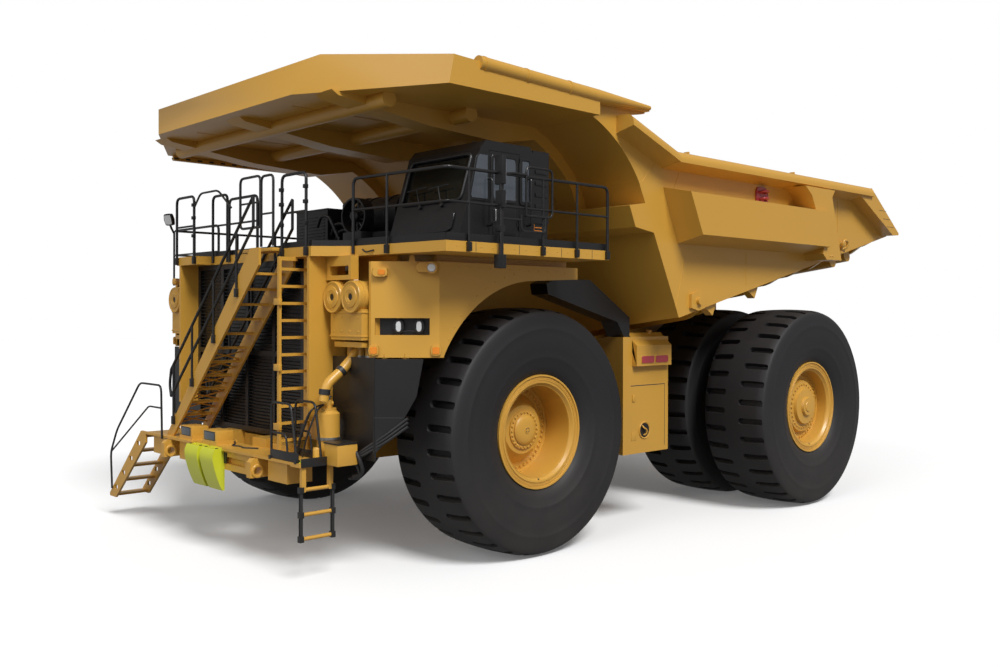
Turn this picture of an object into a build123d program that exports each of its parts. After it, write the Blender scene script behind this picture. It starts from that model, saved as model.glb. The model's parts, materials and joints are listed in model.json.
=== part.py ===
"""Rigid-frame mining dump truck with a tipping bed, as separate named pieces.

+X is forward, +Y is the driver's side, +Z is up, in millimetres.
The origin is on the ground, midway along and across the truck.
Every piece is one STEP file in parts/, named after its node.
"""
from build123d import *
import os

# ---------------------------------------------------------------- clearances
RUN_FIT = 0.5         # radial play of a shaft in its bore
SEAT = 0.3            # air left between two pieces that rest on each other
MOVE_GAP = 20.0       # room between pieces that swing past each other

# ------------------------------------------------------------ driving sizes
FRONT_AXLE_X = 3599.0
WHEELBASE = 7195.0
REAR_AXLE_X = FRONT_AXLE_X - WHEELBASE
TYRE_R = 2014.0
TYRE_W = 1476.0
SIDEWALL_R = 1450.0   # where the sidewall bulges furthest
BEAD_R = 800.0
FLANGE_R = 927.0
RIM_BORE_R = 740.0
RIM_HALF_W = 600.0
FLANGE_T = 40.0
AXLE_Z = TYRE_R
FRONT_WHEEL_Y = 3267.0
REAR_INNER_Y = 2206.5
REAR_OUTER_Y = 4026.5

# steering
KINGPIN_Y = 1950.0
STRUT_ROD_R = 210.0
STRUT_TUBE_R = 340.0
KNUCKLE_R = 330.0
SPINDLE_R = 300.0
STEER_ARM = 950.0
TIE_ROD_Z = 1200.0
TIE_ROD_R = 70.0
ARM_T = 110.0
TIE_PIN_R = 60.0

# main frame rails
RAIL_IN_Y = 500.0
RAIL_OUT_Y = 920.0
RAIL_FRONT_X = 6900.0
RAIL_LOW_Z = 1350.0
RAIL_TOP_Z = 2300.0
RAIL_NOSE_Z = 1900.0
PAD_START_X = 400.0
PAD_Z = 2733.0
PAD_SLOPE = 0.17
PIVOT_X = -5050.0
PIVOT_Z = 3250.0
PIVOT_PIN_R = 150.0
PIVOT_BOSS_R = 330.0

# bed
BED_IN_HALF = 4256.5
SIDE_PLATE_T = 84.0
BED_OUT_HALF = 4877.5
BED_FRONT_X = 550.0
BED_FRONT_Z = 3860.0
BED_TAIL_X = -7540.0
BED_SLOPE = 0.2367
FLOOR_T = 60.0
VEE_DROP = 597.0
WALL_T = 60.0
WALL_TOP_X = 1700.0
WALL_TOP_Z = 6210.0
BED_TOP_Z = 6780.0
CANOPY_Z = 7160.0
CANOPY_T = 50.0
CANOPY_BACK_X = 2890.0
CANOPY_FRONT_X = 7262.0
CANOPY_TOP_Z = 7709.0
CANOPY_HALF = 4558.0
LIP_T = 60.0
LIP_Y = 4500.0

# hoist cylinders
HOIST_Y = 1200.0
HOIST_LOW_X = -1100.0
HOIST_LOW_Z = 1500.0
HOIST_EYE_X = -1450.0
HOIST_EYE_Z = 3650.0
HOIST_BARREL_R = 220.0
HOIST_STAGE_R = 165.0
HOIST_ROD_R = 115.0
HOIST_EYE_R = 170.0
HOIST_PIN_R = 90.0

# deck, cab and front end
DECK_TOP_Z = 4940.0
DECK_BAND = 150.0
FLOOR_BOARD = 90.0
DECK_LEFT_Y = 4700.0
DECK_REAR_X = 2900.0
WALKWAY_Z = 4560.0
CAB_LEFT_Y = 4150.0
CAB_RIGHT_Y = 2430.0
CAB_REAR_X = 4050.0
CAB_WALL = 60.0
CAB_TOP_Z = 6526.0
GLASS_T = 12.0
RAIL_TUBE_R = 24.0
POST_TUBE_R = 20.0
STAIR_FRONT_X = 7300.0
STAIR_REAR_X = 6650.0
FRONT_MOST_X = 7540.0

pieces = {}


# ------------------------------------------------------------------ helpers
def block(x, y, z):
    """A box between the low and high value of each pair."""
    centre = ((x[0] + x[1]) / 2, (y[0] + y[1]) / 2, (z[0] + z[1]) / 2)
    return Pos(*centre) * Box(x[1] - x[0], y[1] - y[0], z[1] - z[0])


def prism(points, along, low, high):
    """An outline of straight edges, pushed along one axis.

    along "Y" takes (x, z) points, "Z" takes (x, y) and "X" takes (y, z).
    """
    place = {
        "X": lambda a, b: (low, a, b),
        "Y": lambda a, b: (a, low, b),
        "Z": lambda a, b: (a, b, low),
    }[along]
    push = {"X": (high - low, 0, 0), "Y": (0, high - low, 0), "Z": (0, 0, high - low)}[along]
    face = make_face(Polyline(*[place(a, b) for a, b in points], close=True))
    return Solid.extrude(face.faces()[0], Vector(*push))


def rod(start, end, radius):
    """A round bar from one point to another."""
    a, b = Vector(*start), Vector(*end)
    plane = Plane(origin=a, z_dir=b - a)
    return plane * Cylinder(radius, (b - a).length, align=(Align.CENTER, Align.CENTER, Align.MIN))


def spun(section, x, y, z):
    """A closed (radius, offset) outline turned about the Y direction through a point."""
    face = make_face(Polyline(*[(r, o, 0) for r, o in section], close=True))
    return Pos(x, y, z) * revolve(face, Axis.Y, 360)


def disc(x, y, z, radius):
    """A round bar along Y; y is a low and high pair."""
    return rod((x, y[0], z), (x, y[1], z), radius)


def mirrored(shape):
    return mirror(shape, Plane.XZ)


def both_sides(shape):
    """The shape and its mirror image, as one compound of separate solids."""
    return Compound(children=[*shape.solids(), *mirrored(shape).solids()])


def group(*shapes):
    """Separate solids that share one node."""
    return Compound(children=[s for shape in shapes for s in shape.solids()])


def fuse(*shapes):
    first = shapes[0]
    return first.fuse(*shapes[1:]) if len(shapes) > 1 else first


def rail(points, radius=RAIL_TUBE_R):
    """A bent tube through the points, with small round elbows."""
    tube = rod(points[0], points[1], radius)
    for before, here, after in zip(points, points[1:], points[2:]):
        tube = fuse(tube, Pos(*here) * Sphere(radius), rod(here, after, radius))
    return tube


# ------------------------------------------------------------------- wheels
def tyre(y):
    """One tyre, plain, out to the tips of its lugs."""
    bead_y = RIM_HALF_W - FLANGE_T - SEAT
    half = TYRE_W / 2
    shoulder_r, shoulder_y = TYRE_R - 30, half - 110
    right = [
        Line((BEAD_R + SEAT, bead_y, 0), (FLANGE_R + 8, bead_y, 0)),
        ThreePointArc((FLANGE_R + 8, bead_y, 0), (SIDEWALL_R - 240, half - 40, 0), (SIDEWALL_R, half, 0)),
        ThreePointArc((SIDEWALL_R, half, 0), (SIDEWALL_R + 240, half - 12, 0), (TYRE_R - 130, half - 50, 0)),
        Line((TYRE_R - 130, half - 50, 0), (shoulder_r, shoulder_y, 0)),
    ]
    left = [edge.mirror(Plane.XZ) for edge in right]
    crown = ThreePointArc((shoulder_r, shoulder_y, 0), (TYRE_R, 0, 0), (shoulder_r, -shoulder_y, 0))
    bore = Line((BEAD_R + SEAT, bead_y, 0), (BEAD_R + SEAT, -bead_y, 0))
    face = make_face([*right, crown, *left, bore])
    return lambda x: Pos(x, y, AXLE_Z) * revolve(face, Axis.Y, 360)


def rim_shell(low, high):
    """The barrel and two flanges of a rim, between two offsets."""
    return [
        (RIM_BORE_R, low), (FLANGE_R, low), (FLANGE_R, low + FLANGE_T), (BEAD_R, low + FLANGE_T),
        (BEAD_R, high - FLANGE_T), (FLANGE_R, high - FLANGE_T), (FLANGE_R, high), (RIM_BORE_R, high),
    ]


HUB_BORE_R = SPINDLE_R + RUN_FIT
HUB_R = 420.0
HUB_IN = -300.0       # hub's inner face, from the wheel's middle plane
DISC_IN = -90.0
DISC_OUT = -20.0
SPINDLE_END = 154.0
HUB_FACE = 190.0
CAP_FACE = 250.0
BORE_END = 160.0


def front_rim():
    shell = spun(rim_shell(-RIM_HALF_W, RIM_HALF_W), FRONT_AXLE_X, FRONT_WHEEL_Y, AXLE_Z)
    hub = spun([
        (HUB_BORE_R, HUB_IN), (HUB_R, HUB_IN), (HUB_R, DISC_IN), (RIM_BORE_R + 1, DISC_IN),
        (RIM_BORE_R + 1, DISC_OUT), (RIM_BORE_R - 160, DISC_OUT), (HUB_R - 20, HUB_FACE - 10),
        (320, HUB_FACE), (320, HUB_FACE + 25), (240, HUB_FACE + 30), (200, CAP_FACE), (0, CAP_FACE),
        (0, BORE_END), (HUB_BORE_R, BORE_END),
    ], FRONT_AXLE_X, FRONT_WHEEL_Y, AXLE_Z)
    return fuse(shell, hub)


REAR_SPINDLE_R = 350.0
REAR_HUB_IN = 3900.0
REAR_DISC_IN = 4250.0
REAR_DISC_OUT = 4330.0
REAR_CAP = 4560.0
AXLE_TUBE_R = 560.0
AXLE_TUBE_END = REAR_HUB_IN - MOVE_GAP


def rear_rim():
    inner_low = REAR_INNER_Y - RIM_HALF_W
    inner_high = REAR_INNER_Y + RIM_HALF_W
    outer_low = REAR_OUTER_Y - RIM_HALF_W
    outer_high = REAR_OUTER_Y + RIM_HALF_W
    section = [
        (RIM_BORE_R, inner_low), (FLANGE_R, inner_low), (FLANGE_R, inner_low + FLANGE_T),
        (BEAD_R, inner_low + FLANGE_T), (BEAD_R, inner_high - FLANGE_T),
        (FLANGE_R, inner_high - FLANGE_T), (FLANGE_R, inner_high), (BEAD_R, inner_high),
        (BEAD_R, outer_low), (FLANGE_R, outer_low), (FLANGE_R, outer_low + FLANGE_T),
        (BEAD_R, outer_low + FLANGE_T), (BEAD_R, outer_high - FLANGE_T),
        (FLANGE_R, outer_high - FLANGE_T), (FLANGE_R, outer_high), (RIM_BORE_R, outer_high),
    ]
    bore = REAR_SPINDLE_R + RUN_FIT
    hub = [
        (bore, REAR_HUB_IN), (HUB_R + 100, REAR_HUB_IN), (HUB_R + 100, REAR_DISC_IN),
        (RIM_BORE_R + 1, REAR_DISC_IN), (RIM_BORE_R + 1, REAR_DISC_OUT), (560, REAR_DISC_OUT),
        (520, REAR_DISC_OUT + 90), (380, REAR_DISC_OUT + 110), (360, REAR_CAP - 60),
        (200, REAR_CAP - 50), (180, REAR_CAP), (0, REAR_CAP), (0, REAR_DISC_IN), (bore, REAR_DISC_IN),
    ]
    return fuse(spun(section, REAR_AXLE_X, 0, AXLE_Z), spun(hub, REAR_AXLE_X, 0, AXLE_Z))


front_tyre_left = tyre(FRONT_WHEEL_Y)(FRONT_AXLE_X)
rear_tyres_left = group(tyre(REAR_INNER_Y)(REAR_AXLE_X), tyre(REAR_OUTER_Y)(REAR_AXLE_X))
for node, shape in (
    ("front_tyre", front_tyre_left),
    ("front_rim", front_rim()),
    ("rear_tyres", rear_tyres_left),
    ("rear_rims", rear_rim()),
):
    pieces[node + "_left"] = shape
    pieces[node + "_right"] = mirrored(shape)


# ----------------------------------------------------------------- steering
KNUCKLE_TOP_Z = AXLE_Z + 340.0
STRUT_LOW_Z = KNUCKLE_TOP_Z + 50.0
STRUT_TOP_Z = 3900.0
ROD_TOP_Z = 3300.0
KNUCKLE_LOW_Z = TIE_ROD_Z + TIE_ROD_R + ARM_T + 20


def knuckle():
    housing = rod((FRONT_AXLE_X, KINGPIN_Y, KNUCKLE_LOW_Z), (FRONT_AXLE_X, KINGPIN_Y, KNUCKLE_TOP_Z), KNUCKLE_R)
    strut_rod = rod((FRONT_AXLE_X, KINGPIN_Y, AXLE_Z), (FRONT_AXLE_X, KINGPIN_Y, ROD_TOP_Z), STRUT_ROD_R)
    spindle = disc(FRONT_AXLE_X, (KINGPIN_Y, FRONT_WHEEL_Y + SPINDLE_END), AXLE_Z, SPINDLE_R)
    collar = disc(FRONT_AXLE_X, (KINGPIN_Y, FRONT_WHEEL_Y + HUB_IN - MOVE_GAP), AXLE_Z, SPINDLE_R + 90)
    arm_low = KNUCKLE_LOW_Z
    arm_outline = [
        (FRONT_AXLE_X, KINGPIN_Y - 250), (FRONT_AXLE_X, KINGPIN_Y + 250),
        (FRONT_AXLE_X - STEER_ARM - 110, KINGPIN_Y + 110), (FRONT_AXLE_X - STEER_ARM - 110, KINGPIN_Y - 110),
    ]
    arm = prism(arm_outline, "Z", arm_low, arm_low + ARM_T)
    pin = rod(
        (FRONT_AXLE_X - STEER_ARM, KINGPIN_Y, TIE_ROD_Z - TIE_ROD_R - 40),
        (FRONT_AXLE_X - STEER_ARM, KINGPIN_Y, arm_low + ARM_T), TIE_PIN_R)
    return fuse(housing, strut_rod, spindle, collar, arm, pin)


pieces["knuckle_left"] = knuckle()
pieces["knuckle_right"] = mirrored(pieces["knuckle_left"])

tie_x = FRONT_AXLE_X - STEER_ARM
tie_eye = rod((tie_x, KINGPIN_Y, TIE_ROD_Z - 60), (tie_x, KINGPIN_Y, TIE_ROD_Z + 60), TIE_PIN_R + 60)
tie_bar = rod((tie_x, -KINGPIN_Y, TIE_ROD_Z), (tie_x, KINGPIN_Y, TIE_ROD_Z), TIE_ROD_R - 15)
tie_rod = fuse(tie_bar, tie_eye, mirrored(tie_eye))
for side in (1, -1):
    tie_rod = tie_rod - rod(
        (tie_x, side * KINGPIN_Y, TIE_ROD_Z - 200), (tie_x, side * KINGPIN_Y, TIE_ROD_Z + 200), TIE_PIN_R + RUN_FIT)
pieces["tie_rod"] = tie_rod


# -------------------------------------------------------------------- frame
def pad_z(x):
    """Height of the sloping top of the rails, where the bed rests."""
    return PAD_Z + (PAD_START_X - x) * PAD_SLOPE


CROSS_X = (FRONT_AXLE_X - 300, FRONT_AXLE_X + 300)
CROSS_Z = (STRUT_LOW_Z + 150, STRUT_TOP_Z - 500)
POST_X = (5800.0, 3000.0)


def frame():
    outline = [
        (RAIL_FRONT_X, RAIL_LOW_Z + 50), (RAIL_FRONT_X, RAIL_NOSE_Z), (6150, RAIL_NOSE_Z), (5950, RAIL_TOP_Z),
        (1000, RAIL_TOP_Z),
        (PAD_START_X, PAD_Z), (PIVOT_X + 350, pad_z(PIVOT_X + 350)), (PIVOT_X, PIVOT_Z + 320),
        (PIVOT_X - 300, PIVOT_Z + 100), (PIVOT_X - 300, PIVOT_Z - 100), (PIVOT_X, PIVOT_Z - 320),
        (PIVOT_X + 350, PIVOT_Z - 320), (REAR_AXLE_X + 750, 2830), (-1650, 1700), (-1350, RAIL_LOW_Z),
    ]
    side = prism(outline, "Y", RAIL_IN_Y, RAIL_OUT_Y)
    pin = disc(PIVOT_X, (-PIVOT_PIN_Y, PIVOT_PIN_Y), PIVOT_Z, PIVOT_PIN_R)
    parts = [side, mirrored(side), pin]
    # cross members: x pair, z pair
    for x, z in (
        ((6200, 6500), (1500, 1850)),
        ((4000, 4300), (1400, 1640)),
        ((5700, 6000), (1400, 1640)),
        ((-900, -600), (2250, 2700)),
        ((PIVOT_X - 150, PIVOT_X + 150), (PIVOT_Z - 200, PIVOT_Z + 200)),
    ):
        half = RAIL_IN_Y + 5 if x[0] > PIVOT_X else PIVOT_CORE_Y
        parts.append(block(x, (-half, half), z))
    cross = block(CROSS_X, (-KINGPIN_Y - 150, KINGPIN_Y + 150), CROSS_Z)
    tower = block(CROSS_X, (RAIL_IN_Y, RAIL_OUT_Y), (RAIL_TOP_Z - 200, CROSS_Z[1]))
    parts += [tower, mirrored(tower)]
    for side_y in (1, -1):
        cross = cross - rod(
            (FRONT_AXLE_X, side_y * KINGPIN_Y, 0), (FRONT_AXLE_X, side_y * KINGPIN_Y, STRUT_TOP_Z),
            STRUT_TUBE_R + SEAT)
    cross = cross - block((CROSS_X[0] - 1, CROSS_X[1] + 1), (-RAIL_IN_Y, RAIL_IN_Y), (0, ENGINE_TOP + 50))
    parts += [cross]
    for x in POST_X:
        post = block((x - 120, x + 120), (RAIL_IN_Y + 60, RAIL_OUT_Y - 60), (RAIL_TOP_Z - 100, DECK_TOP_Z - DECK_BAND - SEAT))
        parts += [post, mirrored(post)]
    hoist_pin = disc(HOIST_LOW_X, (RAIL_OUT_Y - 50, HOIST_Y + 210), HOIST_LOW_Z, HOIST_PIN_R)
    parts += [hoist_pin, mirrored(hoist_pin)]
    # brackets that carry the side tanks: x pair
    for x in ((0, 200), (500, 700)):
        bracket = block(x, (RAIL_OUT_Y - 5, TANK_IN_Y - SEAT), (1450, 1750))
        parts += [bracket, mirrored(bracket)]
    hitch = prism([(PIVOT_X - 100, PIVOT_Z - 200), (REAR_TOW_X - 90, REAR_TOW_Z - 110), (REAR_TOW_X - 90, REAR_TOW_Z + 110),
                   (PIVOT_X - 100, PIVOT_Z + 150)], "Y", -TOW_PLATE / 2, TOW_PLATE / 2)
    parts.append(hitch)
    whole = fuse(*parts)
    return whole - disc(REAR_TOW_X, (-200, 200), REAR_TOW_Z, REAR_TOW_R)


REAR_TOW_X = -5420.0
REAR_TOW_Z = 3205.0
REAR_TOW_R = 50.0
TOW_PLATE = 90.0
PIVOT_PIN_Y = 1040.0
PIVOT_CORE_Y = 390.0
ENGINE_TOP = 3300.0
TANK_IN_Y = 1550.0
pieces["frame"] = frame()

strut = rod((FRONT_AXLE_X, KINGPIN_Y, STRUT_LOW_Z), (FRONT_AXLE_X, KINGPIN_Y, STRUT_TOP_Z), STRUT_TUBE_R)
strut = strut - rod(
    (FRONT_AXLE_X, KINGPIN_Y, STRUT_LOW_Z - 10), (FRONT_AXLE_X, KINGPIN_Y, ROD_TOP_Z + 60), STRUT_ROD_R + RUN_FIT)
pieces["front_struts"] = both_sides(strut)

pieces["engine_block"] = block((4300 + SEAT, 6000), (-RAIL_IN_Y + 20, RAIL_IN_Y - 20), (1640 + SEAT, 3900))

housing = disc(REAR_AXLE_X, (-1380, 1380), AXLE_Z, 700)
bulge = spun([(0, -440), (760, -440), (1067, -250), (1067, 250), (760, 440), (0, 440)], REAR_AXLE_X, 0, AXLE_Z)
tube = disc(REAR_AXLE_X, (-AXLE_TUBE_END, AXLE_TUBE_END), AXLE_Z, AXLE_TUBE_R)
spindle = disc(REAR_AXLE_X, (-REAR_DISC_IN + 6, REAR_DISC_IN - 6), AXLE_Z, REAR_SPINDLE_R)
nose = rod((REAR_AXLE_X + 900, 0, AXLE_Z), (REAR_AXLE_X + 1250, 0, AXLE_Z), 420)
pieces["rear_axle"] = fuse(housing, bulge, tube, spindle, nose)

rear_strut = fuse(
    rod((REAR_AXLE_X - 620, 1180, AXLE_Z + 340), (REAR_AXLE_X - 800, 1180, PIVOT_Z - 60), 150),
    block((REAR_AXLE_X - 930, REAR_AXLE_X - 690), (RAIL_OUT_Y + SEAT, 1340), (PIVOT_Z - 200, PIVOT_Z + 60)),
)
rear_strut = rear_strut - disc(REAR_AXLE_X, (1000, 1400), AXLE_Z, 700 + SEAT)
pieces["rear_struts"] = both_sides(rear_strut)

shaft_back = REAR_AXLE_X + 1250 + SEAT
pieces["driveline"] = fuse(
    rod((shaft_back, 0, AXLE_Z), (4300, 0, AXLE_Z), 110),
    block((600, 2300), (-RAIL_IN_Y + 20, RAIL_IN_Y - 20), (1500, 2600)),
    rod((shaft_back, 0, AXLE_Z), (shaft_back + 60, 0, AXLE_Z), 240),
)

# side tanks, outlined in plan as (x, y) to leave room for the steered tyres
tank_outline = [(-300, TANK_IN_Y), (880, TANK_IN_Y), (880, 2750), (1040, 3450), (-300, 3450)]
tank_section = [(TANK_IN_Y, 1330), (3450, 1330), (3450, 3500), (3000, 3500), (TANK_IN_Y, 3280)]
tank = prism(tank_outline, "Z", 1000, 4000) & prism(tank_section, "X", -300, 1040)
hood = prism([(2900, 3480), (3520, 3480), (3520, 3570), (2900, 3570)], "X", -340, 720)
pieces["fuel_tank"] = fuse(tank, hood)
pieces["hydraulic_tank"] = mirrored(tank)


# --------------------------------------------------------------- front end
BUMPER_X = (RAIL_FRONT_X + SEAT, 7330.0)
BUMPER_Z = (1400.0, 1720.0)
BUMPER_HALF = 2300.0
PLATE_TOP_Z = BUMPER_Z[1] + 40
TOW_Y = 1500.0
TOW_X = 7400.0
TOW_Z = 1520.0
TOW_BORE_R = 60.0

beam = block(BUMPER_X, (-BUMPER_HALF, BUMPER_HALF), BUMPER_Z)
plate = block((6450, 7400), (-2500, 2500), (BUMPER_Z[1], PLATE_TOP_Z))
plate = plate - block((6400, RAIL_FRONT_X + SEAT), (-RAIL_OUT_Y - SEAT, RAIL_OUT_Y + SEAT), (1000, 3000))
lug_outline = [(7100, BUMPER_Z[0] + 20), (7520, BUMPER_Z[0] + 20), (7520, BUMPER_Z[1] - 60),
               (7470, BUMPER_Z[1] - 10), (7100, BUMPER_Z[1] - 10)]
bumper = fuse(beam, plate)
for side in (1, -1):
    notch = block((7180, 7600), (side * TOW_Y - 250, side * TOW_Y + 250), (1300, BUMPER_Z[1]))
    bumper = bumper - notch
    lug = prism(lug_outline, "Y", side * TOW_Y - TOW_PLATE / 2, side * TOW_Y + TOW_PLATE / 2)
    bumper = fuse(bumper, lug)
    bumper = bumper - disc(TOW_X, (side * TOW_Y - 200, side * TOW_Y + 200), TOW_Z, TOW_BORE_R)
pieces["front_bumper"] = bumper

chock_outline = [(BUMPER_X[1] + SEAT, 1600), (BUMPER_X[1] + SEAT, 1400), (FRONT_MOST_X, 1200), (FRONT_MOST_X, 1600)]
pieces["wheel_chocks"] = group(*[
    prism(chock_outline, "Y", y, y + 420) for y in (-600, -50)
])

RADIATOR_X = (6250.0, 6560.0)
pieces["radiator"] = block(RADIATOR_X, (-2140, 1500), (RAIL_NOSE_Z + SEAT, DECK_TOP_Z - DECK_BAND - SEAT))
left_wall = block((6250, 6900), (2140, 2200), (2300, DECK_TOP_Z - DECK_BAND - SEAT))
left_panel = block((6250, 6560), (1500 + SEAT, 2140), (1950, DECK_TOP_Z - DECK_BAND - SEAT))
right_post = block((6250, 6900), (-2200, -2140 - SEAT), (2300, DECK_TOP_Z - DECK_BAND - SEAT))
pieces["radiator_frame"] = group(fuse(left_wall, left_panel), right_post)


WING_Y = 3930.0        # outer face of the wing's side plate
WING_T = 60.0
WING_REAR_X = 2800.0
WING_LOW_Z = 3280.0
WING_CORNER_X = 5780.0  # where the slanted lamp panel starts
WING_FRONT_X = 6500.0
WING_INNER_Y = 3230.0


def fender(shelf_z, top):
    """Front wing: slanted lamp panel, outer side plate with the wheel arch, and inner plates."""
    lamp_panel = prism([
        (WING_FRONT_X, WING_INNER_Y), (WING_CORNER_X, WING_Y), (WING_CORNER_X - 90, WING_Y),
        (WING_CORNER_X - 90, WING_Y - WING_T), (WING_CORNER_X - 25, WING_Y - WING_T),
        (WING_FRONT_X - 60, WING_INNER_Y - 50), (WING_FRONT_X, WING_INNER_Y - 50),
    ], "Z", WING_LOW_Z, shelf_z)
    y = WING_Y - WING_T
    front_x = WING_CORNER_X - 20
    arch = make_face([
        *Polyline((front_x - 60, y, WING_LOW_Z), (front_x, y, WING_LOW_Z), (front_x, y, shelf_z),
                  (WING_REAR_X, y, shelf_z), (WING_REAR_X, y, shelf_z - 190), (3900, y, shelf_z - 240)).edges(),
        ThreePointArc((3900, y, shelf_z - 240), (5130, y, 3980), (front_x - 60, y, WING_LOW_Z)),
    ])
    side_plate = Solid.extrude(arch.faces()[0], Vector(0, WING_T, 0))
    inner = block((5950, 6010), (2200 + SEAT, WING_INNER_Y - 10), (WING_LOW_Z + 20, top))
    front = block((5990, WING_FRONT_X - 20), (WING_INNER_Y - 50, WING_INNER_Y), (WING_LOW_Z + 20, shelf_z))
    shelf = prism([
        (WING_REAR_X, 3500), (5980, 3500), (5980, WING_INNER_Y - 30), (WING_FRONT_X - 30, WING_INNER_Y - 30),
        (WING_FRONT_X - 30, WING_INNER_Y + 10), (WING_CORNER_X - 10, WING_Y - 15), (WING_REAR_X, WING_Y - 15),
    ], "Z", shelf_z - 50, shelf_z)
    parts = [side_plate, lamp_panel, shelf, inner, front]
    if top > shelf_z:
        parts.append(block((WING_REAR_X + 100, 5700), (3700, 3760), (shelf_z - 10, top)))
    return fuse(*parts)


WALKWAY_T = 100.0
deck_under = DECK_TOP_Z - DECK_BAND - SEAT
walk_under = WALKWAY_Z - WALKWAY_T - SEAT
pieces["fender_left"] = fender(4690.0, deck_under)
pieces["fender_right"] = mirrored(fender(walk_under, walk_under))

AIR_CAN_R = 240.0
AIR_CAN_Y = (2450.0, 2935.0)
AIR_CAN_Z = 4170.0
AIR_CAN_FACE_X = 6650.0
back_x = 6010 + SEAT
cleaner = block((back_x, 6600), (2330, 3140), (3530, 3990))
for y in AIR_CAN_Y:
    cleaner = fuse(cleaner, rod((back_x, y, AIR_CAN_Z), (AIR_CAN_FACE_X, y, AIR_CAN_Z), AIR_CAN_R))
for y in (2450, 2692, 2935):
    cleaner = fuse(cleaner, rod((6300, y, 3230), (6300, y, 3600), 70))
pieces["air_cleaners"] = both_sides(cleaner)

splash = block((6450, 6480), (2210, 3300), (1760 + SEAT, 3270))
pieces["splash_guards"] = both_sides(splash)


# --------------------------------------------------------------------- deck
def deck_frame():
    low, top = DECK_TOP_Z - DECK_BAND, DECK_TOP_Z
    outline = [
        (6900, 1400), (6900, 2250), (6450, 2700), (6300, DECK_LEFT_Y), (DECK_REAR_X, DECK_LEFT_Y),
        (DECK_REAR_X, -2300), (6900, -2300), (6900, -1500), (6600, -1500), (6600, 1400),
    ]
    slab = prism(outline, "Z", low, top)
    walk = prism([(6000, -2300), (6000, -4300), (3000, -4300), (3000, -2300)], "Z", WALKWAY_Z - WALKWAY_T, WALKWAY_Z)
    riser = block((3000, 6000), (-2360, -2300), (WALKWAY_Z - WALKWAY_T, top))
    return fuse(slab, walk, riser)


pieces["deck"] = deck_frame()
board_outline = [
    (6880, 1420), (6880, 2240), (6440, 2690), (6290, DECK_LEFT_Y - 10), (DECK_REAR_X + 10, DECK_LEFT_Y - 10),
    (DECK_REAR_X + 10, -2290), (6580, -2290), (6580, 1420),
]
board = prism(board_outline, "Z", DECK_TOP_Z + SEAT, DECK_TOP_Z + FLOOR_BOARD)
pieces["deck_floor"] = board


# ---------------------------------------------------------------------- cab
CAB_LOW_Z = DECK_TOP_Z + FLOOR_BOARD + SEAT
CAB_FRONT_LOW_X = 5600.0
CAB_FRONT_TOP_X = 5180.0
CAB_SHOULDER_Z = 6400.0
DOOR_X = (4380.0, 5000.0)
DOOR_Z = (CAB_LOW_Z + 60, 6380.0)
DOOR_T = 60.0
DOOR_GAP = 6.0
HINGE_R = 16.0
HINGE_PIN_R = 8.0
HINGE_X = DOOR_X[0] - DOOR_GAP
HINGE_Y = CAB_LEFT_Y + HINGE_R + SEAT
# door hinges: the height of each one's middle
HINGE_Z = (5300.0, 6150.0)
HINGE_KNUCKLE = 60.0  # length of one knuckle of a hinge


def hinge_knuckle(z, reach):
    """One barrel of a door hinge with its leaf; reach is the leaf's end along X."""
    low, high = z - HINGE_KNUCKLE / 2, z + HINGE_KNUCKLE / 2
    x = (min(HINGE_X, reach), max(HINGE_X, reach))
    return fuse(rod((HINGE_X, HINGE_Y, low), (HINGE_X, HINGE_Y, high), HINGE_R),
                block(x, (CAB_LEFT_Y - 1, CAB_LEFT_Y + 8), (low, high)))


def cab_outline(inset):
    return [
        (CAB_REAR_X + inset, CAB_LOW_Z + inset), (CAB_FRONT_LOW_X - inset * 1.2, CAB_LOW_Z + inset),
        (CAB_FRONT_TOP_X - inset, CAB_SHOULDER_Z - inset * 0.4), (CAB_FRONT_TOP_X - 110, CAB_TOP_Z - inset),
        (CAB_REAR_X + 100 + inset * 0.4, CAB_TOP_Z - inset), (CAB_REAR_X + inset, CAB_TOP_Z - 120),
    ]


def front_face_x(z):
    """Where the leaning front of the cab stands at a height."""
    share = (z - CAB_LOW_Z) / (CAB_SHOULDER_Z - CAB_LOW_Z)
    return CAB_FRONT_LOW_X + share * (CAB_FRONT_TOP_X - CAB_FRONT_LOW_X)


SCREEN_Z = (5620.0, 6330.0)
SCREEN_Y = (2540.0, 3990.0)
# side windows as (x_low, x_high) at the height pair SIDE_Z
SIDE_Z = (5650.0, 6300.0)
SIDE_PANES = ((5040.0, 5200.0), (4160.0, 4330.0))
DOOR_PANE_X = (4450.0, 4930.0)


def cab_shell():
    shell = prism(cab_outline(0), "Y", CAB_RIGHT_Y, CAB_LEFT_Y)
    shell = shell - prism(cab_outline(CAB_WALL), "Y", CAB_RIGHT_Y + CAB_WALL, CAB_LEFT_Y - CAB_WALL)
    shell = shell - block((CAB_FRONT_TOP_X - 200, 6000), SCREEN_Y, SCREEN_Z)
    for x in SIDE_PANES:
        shell = shell - block(x, (CAB_RIGHT_Y - 50, CAB_LEFT_Y + 50), SIDE_Z)
    shell = shell - block((4450, 4930), (CAB_RIGHT_Y - 50, CAB_RIGHT_Y + CAB_WALL + 10), SIDE_Z)
    shell = shell - block(
        (DOOR_X[0] - DOOR_GAP, DOOR_X[1] + DOOR_GAP), (CAB_LEFT_Y - CAB_WALL - 10, CAB_LEFT_Y + 50),
        (DOOR_Z[0] - DOOR_GAP, DOOR_Z[1] + DOOR_GAP))
    for z in HINGE_Z:
        for shift in (-HINGE_KNUCKLE - 1, HINGE_KNUCKLE + 1):
            shell = fuse(shell, hinge_knuckle(z + shift, HINGE_X - 50))
        shell = fuse(shell, rod((HINGE_X, HINGE_Y, z - HINGE_KNUCKLE), (HINGE_X, HINGE_Y, z + HINGE_KNUCKLE), HINGE_PIN_R))
    return shell


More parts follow.
